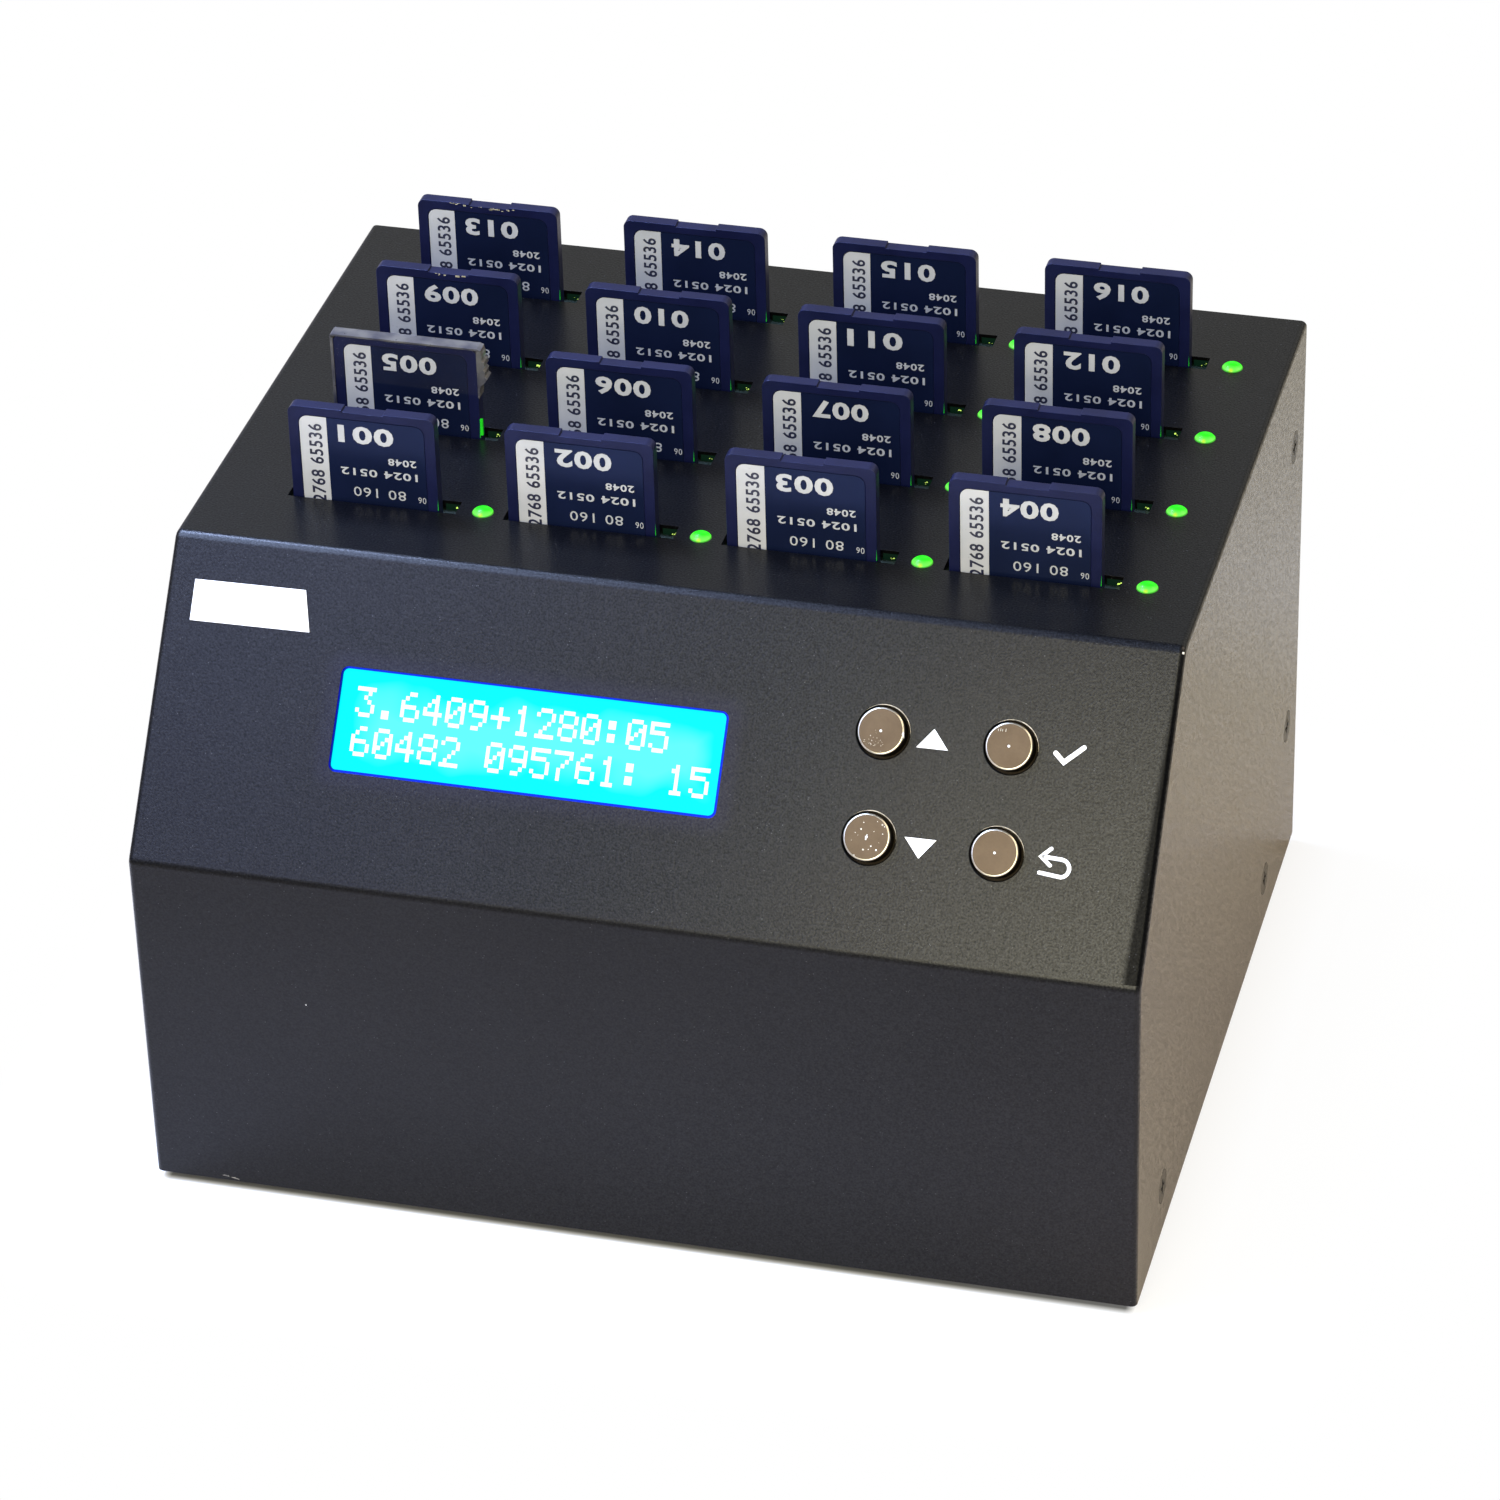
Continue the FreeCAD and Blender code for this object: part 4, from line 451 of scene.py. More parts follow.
def arc(across, up, radius, start, end, steps=10):
    """Points along part of a circle, between two angles in degrees."""
    turns = [math.radians(start + (end - start) * k / steps) for k in range(steps + 1)]
    return [(across + radius * math.cos(turn), up + radius * math.sin(turn)) for turn in turns]


def panel_shapes(name, outlines, out, material, middle=(0.0, 0.0)):
    """Flat shapes at one height over the slope, from their outlines round a middle."""
    points, faces = [], []
    for outline in outlines:
        faces.append(tuple(range(len(points), len(points) + len(outline))))
        points += [on_panel(middle[0] + u, middle[1] + v, out) for u, v in outline]
    return placed_mesh(name, points, faces, material)


ink_and_glint = finish(
    "white_ink_and_glint", ((0.82, 0.82, 0.83), (0.9, 0.9, 0.9)), 0.45,
    patches=500.0, grain=3000.0, relief=0.000006,
)
symbols = {
    "up_arrowhead": [[(41.45, 32.55), (46.4, 32.6), (43.9, 35.65)]],
    "down_arrowhead": [[(41.55, 18.8), (44.1, 15.75), (46.5, 18.85)]],
    "enter_tick": [stroke([(62.9, 34.2), (64.3, 32.95), (67.1, 35.5)], 0.75)],
    "return_arrow": [
        stroke([(64.2, 19.75), (62.8, 18.4), (64.3, 17.2)], 0.6),
        stroke([(62.9, 18.42), (66.0, 18.3)] + arc(65.95, 16.95, 1.35, 80, -80)[1:] + [(62.8, 15.95)], 0.6),
    ],
}
for name, outlines in symbols.items():
    carried(panel_shapes(name, outlines, 0.012, ink_and_glint), "case")

# Marks of use on the cover: a light speck on the front and a short scrape above its lower edge.
# A painted highlight, a pale glint, sits on the rounded edge at the slope's upper right corner.

pale_fleck_and_glint = finish(
    "pale_fleck_and_glint", ((0.4, 0.38, 0.33), (0.85, 0.84, 0.8)), 0.5, patches=900.0, grain=2600.0, relief=0.000004
)
scuffed = finish(
    "scuffed_coat", ((0.09, 0.085, 0.075), (0.28, 0.26, 0.22)), 0.55, patches=1500.0, grain=2600.0, relief=0.000004
)


def on_front(outline):
    return [Vector((u, -69.235, v)) / 1000.0 for u, v in outline]


def on_rounded_edge(turn, up):
    """A point on the rounded edge between slope and side."""
    turn = math.radians(turn)
    return on_panel(79.5 + 1.02 * math.cos(turn), up, -1.0 + 1.02 * math.sin(turn))


speck = on_front([(-52.8, 38.6), (-52.6, 38.58), (-52.58, 38.76), (-52.78, 38.8)])
# The glint is a painted highlight on the rounded corner edge.
painted_glint = [on_rounded_edge(38, 51.35), on_rounded_edge(38, 51.7), on_rounded_edge(60, 51.7), on_rounded_edge(60, 51.35)]
marks = placed_mesh("cover_speck_and_glint", speck + painted_glint, [(0, 1, 2, 3), (4, 5, 6, 7)], pale_fleck_and_glint)
scrapes = on_front([
    (-69.3, 2.42), (-68.6, 2.3), (-68.1, 2.3), (-68.2, 2.52), (-68.9, 2.6),
    (-67.9, 2.25), (-67.0, 2.02), (-66.4, 1.95), (-66.5, 2.1), (-67.3, 2.35),
])
scrape = placed_mesh("front_scrape", scrapes, [tuple(range(5)), tuple(range(5, 10))], scuffed)
for item in (marks, scrape):
    carried(item, "case")

# Display: a two-line character display in a steel frame behind the window. Its face is lit cyan
# from behind, darker towards the window's edge, and its digits are rows of clear dots.

face_out = -0.7
fade_inset = window["corner"] + 3.0


def rounded_outline(across, up, width, height, radius, steps=6):
    """A rectangle with round corners, anticlockwise from its right side."""
    points = []
    for turn, sx, sy in ((0, 1, 1), (90, -1, 1), (180, -1, -1), (270, 1, -1)):
        corner = (across + sx * (width / 2 - radius), up + sy * (height / 2 - radius))
        points += arc(*corner, radius, turn, turn + 90, steps)
    return points


def lit_material(name, inputs):
    """A material that gives off light, with its shader's plain inputs set."""
    material = bpy.data.materials.new(name)
    material.use_nodes = True
    fed(shader_of(material), {"Emission Strength": 1.0, **inputs})
    return material


def store_places(item, places):
    """Keep each point's place on the window in a UV map."""
    layer = item.data.uv_layers.new(name="window_place")
    for loop in item.data.loops:
        layer.data[loop.index].uv = places[loop.vertex_index]


lit = lit_material("lit_display", {
    "Base Color": (0.0, 0.02, 0.03), "Roughness": 0.35, "Specular IOR Level": 0.03
})
tree = lit.node_tree
place = made(tree, "UVMap", uv_map="window_place")
past, reach = beyond_box(
    tree, vectors(tree, "SUBTRACT", place, (0.9, 0.0, 0.0)),
    (window["width"] / 2 - fade_inset, window["height"] / 2 - fade_inset, 0.0),
)
past_side, past_top = made(tree, "SeparateXYZ", [past]).node.outputs[:2]
inside = maths(tree, "MINIMUM", maths(tree, "MAXIMUM", past_side, past_top), 0.0)
depth = maths(tree, "SUBTRACT", maths(tree, "ADD", inside, reach), fade_inset)
cloud = made(tree, "TexNoise", {"Vector": place, "Scale": 0.12, "Detail": 1.0})
drifting = maths(tree, "ADD", depth, ranged(tree, cloud, 0.3, 0.7, -1.5, 1.5))
fed(shader_of(lit), {"Emission Color": levels_over(tree, ranged(tree, drifting, -8.0, 0.0), [
    (0.2, (0.13, 1.0, 1.0)), (0.45, (0.075, 1.0, 1.0)), (0.72, (0.0, 1.0, 1.0)), (1.0, (0.0, 0.97, 1.0)),
])})

glass = rounded_outline(window["across"], window["up"], 69.8, 23.8, 0.6)
step = rounded_outline(window["across"], window["up"], 61.95, 16.35, 1.05)
count = len(glass)
levels = [(glass, -2.01), (glass, -4.19), (step, face_out), (step, -2.01)]
display = placed_mesh(
    "lit_face", [on_panel(u, v, out) for outline, out in levels for u, v in outline],
    plate_faces(count) + plate_faces(count, 2 * count, closed=False), lit,
)
store_places(display, [(u - window["across"], v - window["up"]) for outline, out in levels for u, v in outline])
carried(display, "case", "display_glass")

# Painted light: the window's cut edge is a thin rim that glows blue. It stands for the display's light on it and is dim
# on the left.
edge_light = lit_material("edge_light", {
    "Base Color": (0.0, 0.0, 0.02), "Roughness": 0.4, "Specular IOR Level": 0.03
})
tree = edge_light.node_tree
level = made(tree, "SeparateXYZ", [made(tree, "UVMap", uv_map="window_place")], 1)
fed(shader_of(edge_light), {
    "Emission Color": levels_over(tree, level, [(0.1, (0.0, 0.002, 0.36)), (0.95, (0.006, 0.045, 1.0))])
})
rim_outer = rounded_outline(window["across"] - 0.05, window["up"], 62.3, 16.56, 1.16)
rim_inner = rounded_outline(window["across"] - 0.1, window["up"] + 0.06, 61.62, 15.9, 0.9)


def rim_level(across, up):
    """How brightly the rim is lit: well at the top, bottom and right, dimly on the left."""
    to_left = min(max((-29.9 - (across - window["across"])) / 0.9, 0.0), 1.0)
    return 0.1 * to_left + (1 - to_left) * (0.8 if up > window["up"] else 0.9)


levels = [(rim_outer, -1.15), (rim_outer, -0.1), (rim_inner, -0.1), (rim_inner, -0.72)]
ring = [(k, (k + 1) % count) for k in range(count)]
faces = [
    (low + here, low + after, low + count + after, low + count + here)
    for low in (0, count, 2 * count) for here, after in ring
]
rim = placed_mesh(
    "window_rim", [on_panel(u, v, out) for outline, out in levels for u, v in outline], faces, edge_light
)
store_places(rim, [(u - window["across"], rim_level(u, v)) for outline, out in levels for u, v in outline])
carried(rim, "case")

# The digits are five dots wide and seven high; each number below is one row of dots.

digit_rows = {
    "0": (14, 17, 19, 21, 25, 17, 14), "1": (4, 12, 4, 4, 4, 4, 14), "2": (14, 17, 1, 2, 4, 8, 31),
    "3": (31, 2, 4, 2, 1, 17, 14), "4": (2, 6, 10, 18, 31, 2, 2), "5": (31, 16, 30, 1, 1, 17, 14),
    "6": (6, 8, 16, 30, 17, 17, 14), "7": (31, 1, 2, 4, 8, 8, 8), "8": (14, 17, 17, 14, 17, 17, 14),
    "9": (14, 17, 17, 15, 1, 2, 12), ":": (0, 12, 12, 0, 12, 12, 0), ".": (0, 0, 0, 0, 0, 12, 12),
    "+": (0, 4, 4, 31, 4, 4, 0), " ": (0, 0, 0, 0, 0, 0, 0),
}
display_lines = ("3.6409+1280:05 ", "60482 095761: 15")
digit_pitch, line_pitch = 3.63, 6.17
dot_pitch_across, dot_pitch_up = 0.605, 0.672
first_dot = (-47.16, 31.34)
dots = []
for row, text in enumerate(display_lines):
    for column, character in enumerate(text):
        for level, bits in enumerate(digit_rows[character]):
            for dot in range(5):
                if bits >> (4 - dot) & 1:
                    across = first_dot[0] + column * digit_pitch + dot * dot_pitch_across
                    up = first_dot[1] - row * line_pitch - level * dot_pitch_up
                    dots.append(on_panel(across, up, face_out + 0.01))

clear_dot = lit_material("clear_dot", {"Base Color": (0.1, 0.1, 0.1)})
tree = clear_dot.node_tree
drift = made(tree, "TexNoise", {"Vector": made(tree, "TexCoord", out="Object"), "Scale": 300.0})
fed(shader_of(clear_dot), {
    "Emission Color": levels_over(tree, drift, [(0.0, (0.86, 1.0, 1.0)), (1.0, (1.0, 1.0, 1.0))])
})

tree = bpy.data.node_groups.new("dots_on_places", "GeometryNodeTree")
tree.interface.new_socket("Geometry", in_out="INPUT", socket_type="NodeSocketGeometry")
tree.interface.new_socket("Geometry", in_out="OUTPUT", socket_type="NodeSocketGeometry")
for title, kind in (("Dot width", "Float"), ("Dot height", "Float"), ("Lean", "Float"), ("Finish", "Material")):
    tree.interface.new_socket(title, in_out="INPUT", socket_type="NodeSocket" + kind)
given = tree.nodes.new("NodeGroupInput").outputs
dot = made(tree, "GeometryNodeMeshGrid", {
    "Size X": given["Dot width"], "Size Y": given["Dot height"], "Vertices X": 2, "Vertices Y": 2
})
scattered = made(tree, "GeometryNodeInstanceOnPoints", {
    "Points": given["Geometry"], "Instance": dot, "Rotation": made(tree, "CombineXYZ", [given["Lean"]])
})
whole = made(tree, "GeometryNodeRealizeInstances", [scattered])
dressed = made(tree, "GeometryNodeSetMaterial", {"Geometry": whole, "Material": given["Finish"]})
fed(tree.nodes.new("NodeGroupOutput"), [dressed])

digits = placed_mesh("display_digits", dots, [], clear_dot)
modifier = digits.modifiers.new(tree.name, "NODES")
modifier.node_group = tree
sockets = {socket.name: socket.identifier for socket in tree.interface.items_tree if socket.in_out == "INPUT"}
for title, value in (
    ("Dot width", 0.00059), ("Dot height", 0.00066), ("Lean", panel_lean), ("Finish", clear_dot),
):
    modifier[sockets[title]] = value
graph = bpy.context.evaluated_depsgraph_get()
places = digits.data
digits.data = bpy.data.meshes.new_from_object(digits.evaluated_get(graph))
digits.modifiers.remove(modifier)
bpy.data.meshes.remove(places)
carried(digits, "case")

satin_black = finish(
    "satin_black_steel", ((0.012, 0.012, 0.014), (0.022, 0.022, 0.024)), 0.4,
    metallic=0.3, patches=200.0, grain=2000.0, relief=0.000004,
)
lit_plastic = finish(
    "lit_plastic", ((0.04, 0.45, 0.7), (0.06, 0.55, 0.8)), 0.3, patches=100.0, grain=700.0, relief=0.000002
)


def dress(nodes, material):
    """Give carried-over nodes a finish of their own."""
    for node in nodes:
        slots = frame["nodes"][node].data.materials
        slots.clear()
        slots.append(material)


dress(["display_bezel"], satin_black)
dress(["display_backlight"], lit_plastic)

# Buttons: four turned caps of satin nickel. Their chamfer is a bright copy of the nickel, a painted highlight,
# and the white dot in the middle is a painted highlight of the turning pip's glint. Their side walls are a near black
# copy of the nickel, painted shade. Each stands in a hole lined by a near black collar, painted shade, with a pale arc
# on its upper right edge, a painted highlight, on a stem that presses a sprung switch.

def turned_piece(name, across, up, profile, material, sides=72):
    """A piece turned about a line square to the slope, from radii and heights in millimetres."""
    points, faces, rings = [], [], []
    for radius, out in profile:
        if radius:
            rings.append(list(range(len(points), len(points) + sides)))
            for k in range(sides):
                turn = math.tau * k / sides
                points.append(on_panel(across + radius * math.cos(turn), up + radius * math.sin(turn), out))
        else:
            rings.append([len(points)])
            points.append(on_panel(across, up, out))
    for above, below in zip(rings, rings[1:]):
        for k in range(sides):
            after = (k + 1) % sides
            corners = [(above, k), (below, k), (below, after), (above, after)]
            faces.append(tuple(dict.fromkeys(ring[step % len(ring)] for ring, step in corners)))
    item = placed_mesh(name, points, faces, material)
    item.data.shade_smooth()
    item.data.set_sharp_from_angle(angle=math.radians(10.0))
    return item


nickel = finish(
    "turned_nickel", ((0.09, 0.066, 0.044), (0.104, 0.077, 0.052)), 0.55,
    metallic=1.0, patches=260.0, grain=2600.0, relief=0.000003,
)
# Painted highlight: the chamfer is a much brighter copy of the caps' nickel.
painted_highlight_nickel = finish(
    "painted_highlight_nickel", ((0.5, 0.46, 0.36), (0.62, 0.58, 0.48)), 0.3,
    metallic=1.0, patches=900.0, grain=2600.0, relief=0.000002,
)
# Painted highlight: a pale arc on each hole's upper right edge.
hole_edge_highlight = finish(
    "bare_hole_edge", ((0.16, 0.14, 0.1), (0.6, 0.52, 0.4)), 0.5, patches=700.0, grain=2600.0, relief=0.000002
)
# Painted shade: the caps' side walls and skirts are a near black copy of the nickel.
painted_shade_nickel = finish(
    "painted_shade_nickel", ((0.012, 0.0095, 0.007), (0.02, 0.016, 0.012)), 0.5,
    metallic=1.0, patches=260.0, grain=2600.0, relief=0.000003,
)
shaded_edge = finish(
    "shaded_hole_edge", ((0.0015, 0.0015, 0.002), (0.004, 0.004, 0.005)), 0.6,
    patches=700.0, grain=2600.0, relief=0.000002, gloss=0.08,
)
button_places = {
    "button_up": (36.05, 34.25), "button_enter": (55.95, 34.25),
    "button_down": (36.05, 17.95), "button_back": (55.95, 17.95),
}
cap_profile = [(0.0, 1.78), (3.4, 1.78), (3.55, 1.72), (3.64, 1.55), (3.64, 1.3)]
skirt_profile = [(3.64, 1.3), (3.64, -1.5), (4.9, -1.5), (4.9, -2.3), (1.7, -2.3), (1.7, -4.8), (0.0, -4.8)]
chamfer_profile = [(3.39, 1.8), (3.5, 1.775), (3.6, 1.69), (3.65, 1.56)]
# Painted highlight: a white dot in each cap's middle stands for the glint of its turning pip.
glint_dot_profile = [(0.0, 1.82), (0.14, 1.81), (0.2, 1.79)]
collar_profile = [(4.3, 0.03), (4.2, 0.0), (4.12, -0.14), (4.1, -0.3), (4.1, -1.1)]
highlight_turns = [math.radians(-5 + 140 * k / 24) for k in range(25)]
for button, (across, up) in button_places.items():
    cap = turned_piece(button + "_cap", across, up, cap_profile, nickel)
    skirt = turned_piece(button + "_skirt", across, up, skirt_profile, painted_shade_nickel)
    chamfer = turned_piece(button + "_chamfer", across, up, chamfer_profile, painted_highlight_nickel)
    spot = turned_piece(button + "_dot", across, up, glint_dot_profile, ink_and_glint, 16)
    carried(cap, button, button)
    carried(skirt, button)
    carried(chamfer, button)
    carried(spot, button)
    collar = turned_piece(button + "_collar", across, up, collar_profile, shaded_edge)
    highlight_arc = [
        (across + (4.27 - width * math.sin(math.pi * k / 24)) * math.cos(highlight_turns[k]),
         up + (4.27 - width * math.sin(math.pi * k / 24)) * math.sin(highlight_turns[k]))
        for width, order in ((0.0, range(25)), (0.15, range(23, 0, -1))) for k in order
    ]
    edge = panel_shapes(button + "_bare_edge", [highlight_arc], 0.035, hole_edge_highlight)
    for item in (collar, edge):
        carried(item, "case")

# The caps are worn: one has a smear and a bright nick in its edge, one short streaks, one is
# flecked with white.

def round_speck(across, up, radius, sides=7):
    turns = [math.tau * k / sides for k in range(sides)]
    return [(across + radius * math.cos(turn), up + radius * math.sin(turn)) for turn in turns]


chance = random.Random(3)
cap_marks = {
    "button_down": [round_speck(*mark) for mark in (
        (-1.79, 0.48, 0.07), (-0.96, 1.1, 0.13), (-0.69, 2.15, 0.08), (0.88, -1.31, 0.12), (-0.25, -1.97, 0.15),
        (1.76, -1.8, 0.15), (0.55, -1.86, 0.07), (-1.54, -3.0, 0.16), (2.22, 2.12, 0.15), (2.6, 1.86, 0.1),
        (2.45, 0.73, 0.08), (1.05, 0.95, 0.06), (1.4, 2.52, 0.07), (-2.24, -0.75, 0.06), (-0.05, -0.36, 0.13),
        (0.06, 0.31, 0.1), (-1.34, 0.13, 0.05), (2.02, -0.65, 0.05),
    )],
    "button_up": [[(3.3, -0.15), (3.72, -0.8), (3.66, 0.05), (3.42, 0.3)]] + [
        round_speck(chance.gauss(-1.1, 0.8), chance.gauss(-1.8, 0.55), chance.uniform(0.02, 0.05)) for k in range(34)
    ],
    "button_enter": [
        [(u, 2.1), (u + 0.07, 2.1), (u + 0.05, 2.1 + high), (u, 2.08 + high)]
        for u, high in ((-1.95, 0.35), (-1.6, 0.5), (-1.3, 0.4), (-0.8, 0.5))
    ],
}
for button, outlines in cap_marks.items():
    marks = panel_shapes(button + "_marks", outlines, 1.805, pale_fleck_and_glint, button_places[button])
    carried(marks, button)

# Memory cards: two halves of navy plastic welded together, 24 by 32 by 2.1 mm, with a printed
# label in a shallow recess, a grip step in the top edge and nine gold contacts at the back.

cover_top = foot_height + 101.3
card_pitch = (35.4, 23.1)
first_card = (-53.7, front_plane + 48.15)


def card_centre(row, column):
    return first_card[0] + card_pitch[0] * column, first_card[1] + card_pitch[1] * row


def card_coordinates(tree):
    """Millimetres across and deep from the middle of whichever card a point is on, and up from the cover."""
    x, y, z = made(tree, "SeparateXYZ", [made(tree, "TexCoord", out="Object")]).node.outputs
    found = []
    for place, first, pitch in zip((x, y), first_card, card_pitch):
        pitch /= 1000
        shifted = maths(tree, "SUBTRACT", place, first / 1000 - pitch / 2)
        centred = maths(tree, "SUBTRACT", maths(tree, "WRAP", shifted, pitch, 0.0), pitch / 2)
        found.append(maths(tree, "MULTIPLY", centred, 1000.0))
    return *found, maths(tree, "MULTIPLY_ADD", z, 1000.0, -cover_top)


card_plastic = finish(
    "navy_plastic", ((0.0032, 0.0045, 0.024), (0.0048, 0.0065, 0.032)), 0.4,
    patches=220.0, grain=2600.0, relief=0.000012, gloss=0.4,
)
label_print = finish(
    "navy_print", ((0.0036, 0.0062, 0.02), (0.0046, 0.0078, 0.026)), 0.22,
    patches=90.0, grain=700.0, relief=0.000003, gloss=0.42,
)
fed(shader_of(card_plastic), {"Specular Tint": (0.5, 0.56, 1.0)})
fed(shader_of(label_print), {"Specular Tint": (0.28, 0.4, 1.0)})
pale_print = finish(
    "pale_print", ((0.37, 0.375, 0.38), (0.42, 0.42, 0.42)), 0.3,
    patches=160.0, grain=1800.0, relief=0.000003,
)
dark_print = finish(
    "dark_print", ((0.012, 0.013, 0.03), (0.02, 0.022, 0.045)), 0.3, patches=300.0, grain=1800.0, relief=0.000002
)
gold_plate = finish(
    "gold_plate", ((0.72, 0.47, 0.16), (0.82, 0.58, 0.24)), 0.28,
    metallic=1.0, patches=700.0, grain=2600.0, relief=0.000003,
)
# Painted light: a green sliver that glows, standing for the lamp's light on a card's edge.
green_edge = finish(
    "green_edge", ((0.01, 0.3, 0.01), (0.02, 0.5, 0.02)), 0.3, patches=500.0, grain=3000.0, relief=0.000005
)
fed(shader_of(green_edge), {"Emission Color": (0.0, 1.0, 0.0), "Emission Strength": 0.22})


def bar(left, low, width, height):
    return [(left, low), (left + width, low), (left + width, low + height), (left, low + height)]


def flat_prints(name, prints, front, material, centre, back=None):
    """Flat shapes on a card's front, each from points across and up from the cover, and faces."""
    points, faces = [], []
    for shape, shape_faces in prints:
        start, count = len(points), len(shape)
        for deep in (front, back)[: 1 if back is None else 2]:
            points += [Vector((centre[0] + u, centre[1] + deep, cover_top + v)) / 1000.0 for u, v in shape]
        faces += [tuple(start + k for k in face) for face in shape_faces]
        if back is not None:
            faces += plate_faces(count, start, closed=False)[1:]
    return placed_mesh(name, points, faces, material)


def plain(outline):
    return outline, [tuple(range(len(outline)))]


cut_numbers = {}


def numbers(text, corner, along, high, turn=180, weight=0.02):
    """Plain numerals as flat shapes, stretched to a length and a height, and turned about their start."""
    if (text, weight) not in cut_numbers:
        curve = bpy.data.curves.new("numerals", "FONT")
        curve.body = text
        curve.offset = weight
        curve.space_character = 1.1
        curve.resolution_u = 3
        written = bpy.data.objects.new("numerals", curve)
        bpy.context.scene.collection.objects.link(written)
        bpy.context.view_layer.update()
        graph = bpy.context.evaluated_depsgraph_get()
        mesh = bpy.data.meshes.new_from_object(written.evaluated_get(graph))
        bpy.data.objects.remove(written)
        flat = [(v.co.x, v.co.y) for v in mesh.vertices]
        low = [min(p[axis] for p in flat) for axis in (0, 1)]
        span = [max(p[axis] for p in flat) - low[axis] for axis in (0, 1)]
        shape = [((x - low[0]) / span[0], (y - low[1]) / span[1]) for x, y in flat]
        cut_numbers[text, weight] = shape, [tuple(face.vertices) for face in mesh.polygons]
        bpy.data.meshes.remove(mesh)
    shape, shape_faces = cut_numbers[text, weight]
    if turn == 180:
        return [(corner[0] - x * along, corner[1] - y * high) for x, y in shape], shape_faces
    return [(corner[0] - y * high, corner[1] + x * along) for x, y in shape], shape_faces


card_foot = -15.7
for row in range(4):
    for column in range(4):
        node = f"card_row_{row + 1}_column_{column + 1}"
        centre = card_centre(row, column)
        eased(node, node + "_shell", card_plastic, width=0.00018)
        # Each card's lower right corner carries a thin painted green glow.
        lit_corner = [plain([(11.86, 0.0), (11.96, 0.0), (11.94, 2.0)])]
        sheet = [plain(rounded_outline(0.0, 4.05, 20.4, 21.3, 1.45))]
        strip = [plain([(-10.2, -6.5), (-5.7, -6.5), (-5.7, 14.7)] + arc(-8.75, 13.25, 1.45, 90, 180, 6))]
        strip_numbers = [numbers("32768 65536", (-6.5, -2.2), 15.6, 2.3, 90)]
        white = [
            numbers(f"{4 * row + column + 1:03d}", (5.2, 13.75), 9.1, 3.2, weight=0.035),
            numbers("2048", (8.7, 8.5), 4.6, 1.25),
            numbers("1024 0512", (8.8, 6.1), 12.6, 1.35),
            numbers("80 160", (6.7, 2.7), 8.6, 1.7, weight=0.0),
            numbers("06", (10.0, 2.0), 1.3, 1.1, weight=0.0),
        ]
        for name, prints, front, back, material in (
            ("_corner_glow", lit_corner, -1.065, None, green_edge),
            ("_label", sheet, -1.0, -0.9, label_print),
            ("_strip", strip, -1.006, None, pale_print),
            ("_scale", strip_numbers, -1.012, None, dark_print),
            ("_numbers", white, -1.006, None, pale_print),
        ):
            carried(flat_prints(node + name, prints, front, material, centre, back), node)
        pads = [bar(-10.74 + 2.5 * k, card_foot + 2.06, 1.48, 3.88) for k in range(9)]
        pads[0] = [(-10.74, card_foot + 2.95), (-9.9, card_foot + 2.1)] + pads[0][1:]
        contacts = flat_prints(node + "_contacts", [plain(pad[::-1]) for pad in pads], 0.86, gold_plate, centre)
        carried(contacts, node)

# Clear tape: an old piece is folded over the top of one card, gone yellow and frayed at its right
# end, where a green glow is painted down its edge, painted light of the lamp. Two cards have worn top edges.

tape = finish(
    "old_clear_tape", ((0.035, 0.036, 0.055), (0.13, 0.125, 0.12)), 0.3,
    patches=260.0, grain=1500.0, relief=0.00003, gloss=0.6,
)
haze = finish(
    "tape_haze", ((0.3, 0.29, 0.27), (0.5, 0.48, 0.42)), 0.25,
    patches=400.0, grain=1500.0, relief=0.00003, gloss=0.6,
)
fed(shader_of(tape), {"Alpha": 0.8})
fed(shader_of(haze), {"Alpha": 0.012})
worn = finish(
    "worn_edge", ((0.3, 0.27, 0.17), (0.5, 0.46, 0.33)), 0.5, patches=2000.0, grain=3000.0, relief=0.00001
)
taped, taped_centre = "card_row_2_column_1", card_centre(1, 0)
for vertex in bpy.data.objects[taped + "_shell"].data.vertices:
    if vertex.co.z * 1000 > cover_top + 15.4:
        vertex.co.z -= 0.0003
fold_over = [
    [(-12.4, 0.3), (-11.95, 0.3), (-11.95, 15.5), (-12.4, 15.9)],
    [(-12.4, 15.98), (12.3, 15.98), (12.7, 16.05), (12.1, 16.28), (-12.1, 16.28), (-12.4, 16.1)],
    [
        (11.95, 7.4), (12.15, 7.3), (12.25, 8.4), (12.5, 9.6), (13.2, 10.3), (13.6, 10.9), (13.2, 11.3),
        (13.3, 12.2), (12.9, 12.6), (13.3, 13.2), (13.2, 13.9), (12.8, 14.1), (12.9, 15.1), (12.6, 15.9), (11.95, 15.9),
    ],
]
film = flat_prints(taped + "_tape", [plain(shape) for shape in fold_over], -1.18, tape, taped_centre, 1.18)
veil = flat_prints(
    taped + "_veil", [plain([(-12.2, 8.3), (12.3, 7.8), (12.3, 16.0), (-12.2, 16.0)])], -1.1, haze, taped_centre
)
lit_edge = flat_prints(taped + "_edge", [plain(bar(12.0, 0.5, 0.4, 2.9))], -1.14, green_edge, taped_centre, -0.7)
for item in (film, veil, lit_edge):
    carried(item, taped)

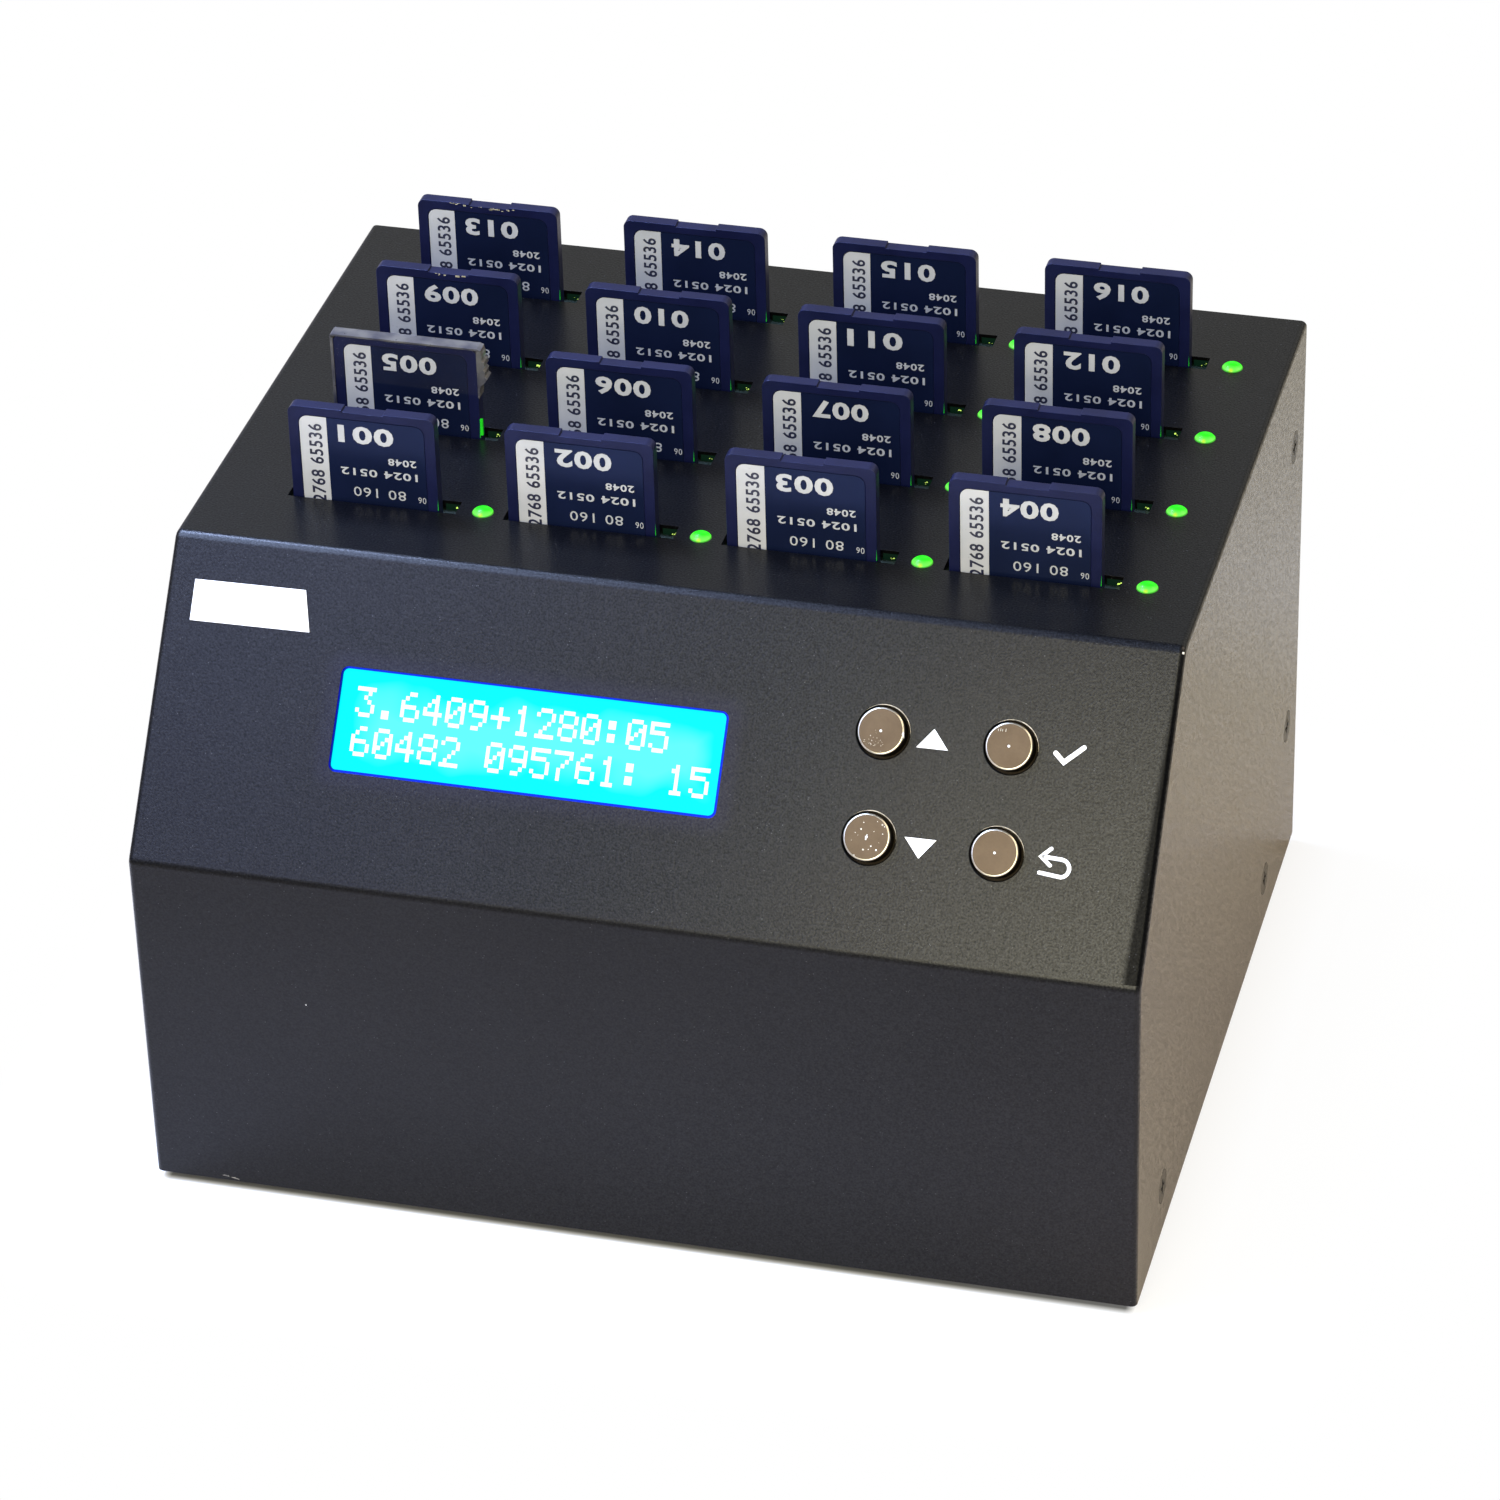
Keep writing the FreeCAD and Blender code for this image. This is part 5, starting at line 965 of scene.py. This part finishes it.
grip_half, card_edge, grip_edge = 3.7, 16.32, 16.02
chance = random.Random(7)
for row, count, span in ((3, 22, (-7.0, 6.0)), (2, 8, (-2.0, 3.5))):
    node = f"card_row_{row + 1}_column_1"
    flecks = []
    for k in range(count):
        left = chance.uniform(*span)
        edge = card_edge if abs(left) > grip_half else grip_edge
        size = chance.uniform(0.08, 0.35)
        foot = edge - chance.uniform(0.05, 0.5)
        flecks.append(plain(bar(left, foot, size * 2, min(size, edge - 0.03 - foot))))
    carried(flat_prints(node + "_wear", flecks, -1.06, worn, card_centre(row, 0)), node)

# Light pipes: clear rods with a domed end above the cover, each over a green lamp on the board.
# The dome glows green. Its pale core is a painted highlight of the window light,
# and its yellow front foot is a painted bright spot of the lamp's light.

pipe_from_card = 18.9
lit_dome = lit_material("lit_green_dome", {
    "Base Color": (0.0, 0.12, 0.01), "Roughness": 0.3, "Specular IOR Level": 0.2
})
tree = lit_dome.node_tree
across, deep, high = card_coordinates(tree)
from_pipe = maths(tree, "ADD", across, card_pitch[0] - pipe_from_card)
from_nearest = maths(tree, "WRAP", from_pipe, card_pitch[0] / 2, -card_pitch[0] / 2)
place = made(tree, "CombineXYZ", [from_nearest, deep, high])
core = vectors(tree, "DISTANCE", place, (0.1, 0.6, 0.9), out=1)
foot = vectors(tree, "DISTANCE", place, (0.0, -1.5, 0.25), out=1)
green = blended(tree, ranged(tree, core, 1.2, 1.95), (0.035, 1.0, 0.0), (0.2, 0.95, 0.09))
fed(shader_of(lit_dome), {
    "Emission Color": blended(tree, ranged(tree, foot, 0.1, 0.5, 0.8, 0.0), green, (0.75, 1.0, 0.0)),
    "Emission Strength": ranged(tree, high, 0.02, 0.2, 0.3, 1.0),
})
domes = eased("light_pipes", "domed_light_pipes", lit_dome, width=0.0, angle=40.0)
for vertex in domes.data.vertices:
    above = vertex.co.z - cover_top / 1000
    if above > 0:
        vertex.co.z -= 0.22 * above

# Slot board: a green board with upright sockets of dark plastic and a lamp beside each, hung
# from the cover on brass posts. The sockets' plastic is tinted green as painted lamp light, and a dim green glow
# and small glints are painted on quads in their mouths, painted light from the lamps.

# Its green tint is painted lamp light.
socket_plastic = finish(
    "socket_plastic", ((0.006, 0.014, 0.01), (0.01, 0.022, 0.016)), 0.5,
    patches=150.0, grain=1500.0, relief=0.000006,
)
dress([f"card_sockets_row_{row + 1}" for row in range(4)], socket_plastic)
solder_mask = finish(
    "solder_mask", ((0.012, 0.09, 0.035), (0.02, 0.13, 0.05)), 0.3, patches=90.0, grain=1200.0, relief=0.000005
)
dress(["slot_board", "display_board", "button_board", "controller_board"], solder_mask)
brass = finish(
    "turned_brass", ((0.5, 0.36, 0.14), (0.62, 0.46, 0.2)), 0.3,
    metallic=1.0, patches=400.0, grain=2000.0, relief=0.000003,
)
dress(["panel_posts", "slot_board_posts", "controller_posts"], brass)
bright_steel = finish(
    "zinc_screw_steel", ((0.4, 0.4, 0.42), (0.55, 0.55, 0.57)), 0.32,
    metallic=1.0, patches=500.0, grain=2500.0, relief=0.000003,
)
dress(["board_screws"], bright_steel)
lamp_glow = finish(
    "lamp_glow", ((0.3, 0.85, 0.3), (0.4, 0.95, 0.4)), 0.3, patches=900.0, grain=3000.0, relief=0.000002
)
fed(shader_of(lamp_glow), {"Emission Color": (0.05, 1.0, 0.05), "Emission Strength": 1.5})
dress(["status_lamps"], lamp_glow)

# Painted light: a dim green glow and small bright glints on quads in the sockets' mouths.
spill = finish(
    "spilled_light", ((0.001, 0.004, 0.002), (0.0015, 0.006, 0.003)), 0.6, patches=300.0, grain=1500.0, gloss=0.1
)
fed(shader_of(spill), {"Emission Color": (0.001, 0.01, 0.005), "Emission Strength": 1.0})
painted_glint = finish("lamp_glint", ((0.2, 0.3, 0.1), (0.3, 0.4, 0.1)), 0.3, patches=900.0, grain=3000.0)
fed(shader_of(painted_glint), {"Emission Color": (0.65, 0.9, 0.15), "Emission Strength": 1.0})
chance = random.Random(11)
spills, glints = [], []
for row in range(4):
    for column in range(4):
        centre = card_centre(row, column)
        bright = chance.uniform(0.5, 1.0) if row < 3 else 0.4
        spills.append((centre, 2.2, [(12.15, -1.9), (14.7, -1.9), (14.7, -0.55), (12.15, -0.55)]))
        for k in range(3):
            u, v = chance.uniform(13.3, 14.2), chance.uniform(-1.6, -1.15)
            size = 0.42 * bright * chance.uniform(0.5, 1.0)
            quad = [(u, v), (u + size * 1.5, v + size * 0.3), (u + size, v + size), (u + 0.1, v + size)]
            glints.append((centre, 2.18, quad))
for name, quads, material in (("slot_spills", spills, spill), ("slot_glints", glints, painted_glint)):
    points = [
        Vector((centre[0] + u, centre[1] + back, cover_top + v)) / 1000.0
        for centre, back, quad in quads for u, v in quad
    ]
    faces = [tuple(range(4 * k, 4 * k + 4)) for k in range(len(quads))]
    carried(placed_mesh(name, points, faces, material), "case")

# Controller: a processor under a black finned heat sink, moulded headers and grey flat cables
# up to the slot board and the display.

black_moulding = finish(
    "black_moulding", ((0.014, 0.014, 0.015), (0.024, 0.024, 0.025)), 0.45,
    patches=120.0, grain=1800.0, relief=0.00001,
)
dress(["controller_chip", "key_switches", "slot_cable_headers", "display_cable_headers"], black_moulding)
anodised = finish(
    "black_anodised", ((0.03, 0.03, 0.032), (0.05, 0.05, 0.054)), 0.4,
    metallic=0.9, patches=200.0, grain=2500.0, relief=0.000004,
)
dress(["heat_sink"], anodised)
grey_insulation = finish(
    "grey_insulation", ((0.24, 0.24, 0.25), (0.32, 0.32, 0.33)), 0.5, patches=80.0, grain=1200.0, relief=0.00001
)
dress(["slot_cable", "display_cable"], grey_insulation)

# Rear fittings: a moulded power inlet held by a nickel-plated nut, a rocker switch snapped into
# the plate, a slim fan on four screws, and black leads from each of them.

eased("power_jack", "power_inlet", black_moulding, width=0.0001)
plated_nut = finish(
    "nickel_plate", ((0.45, 0.43, 0.38), (0.58, 0.56, 0.5)), 0.28,
    metallic=1.0, patches=400.0, grain=2200.0, relief=0.000003,
)
dress(["power_jack_nut"], plated_nut)
eased("power_switch_housing", "rocker_housing", black_moulding, width=0.00015)
eased("power_rocker", "rocker_key", black_moulding, width=0.0002)
eased("fan_frame", "fan_housing", black_moulding, width=0.00015)
eased("fan_rotor", "fan_impeller", black_moulding, width=0.00015)
dark_steel = finish(
    "dark_screw_steel", ((0.13, 0.13, 0.135), (0.2, 0.2, 0.205)), 0.28,
    metallic=1.0, patches=500.0, grain=2500.0, relief=0.000003,
)
eased("fan_screws", "fan_fixings", dark_steel, width=0.00008)
smooth_black = finish(
    "smooth_insulation", ((0.014, 0.014, 0.014), (0.022, 0.022, 0.022)), 0.4, patches=100.0, grain=1500.0
)
dress(["power_leads", "fan_lead"], smooth_black)
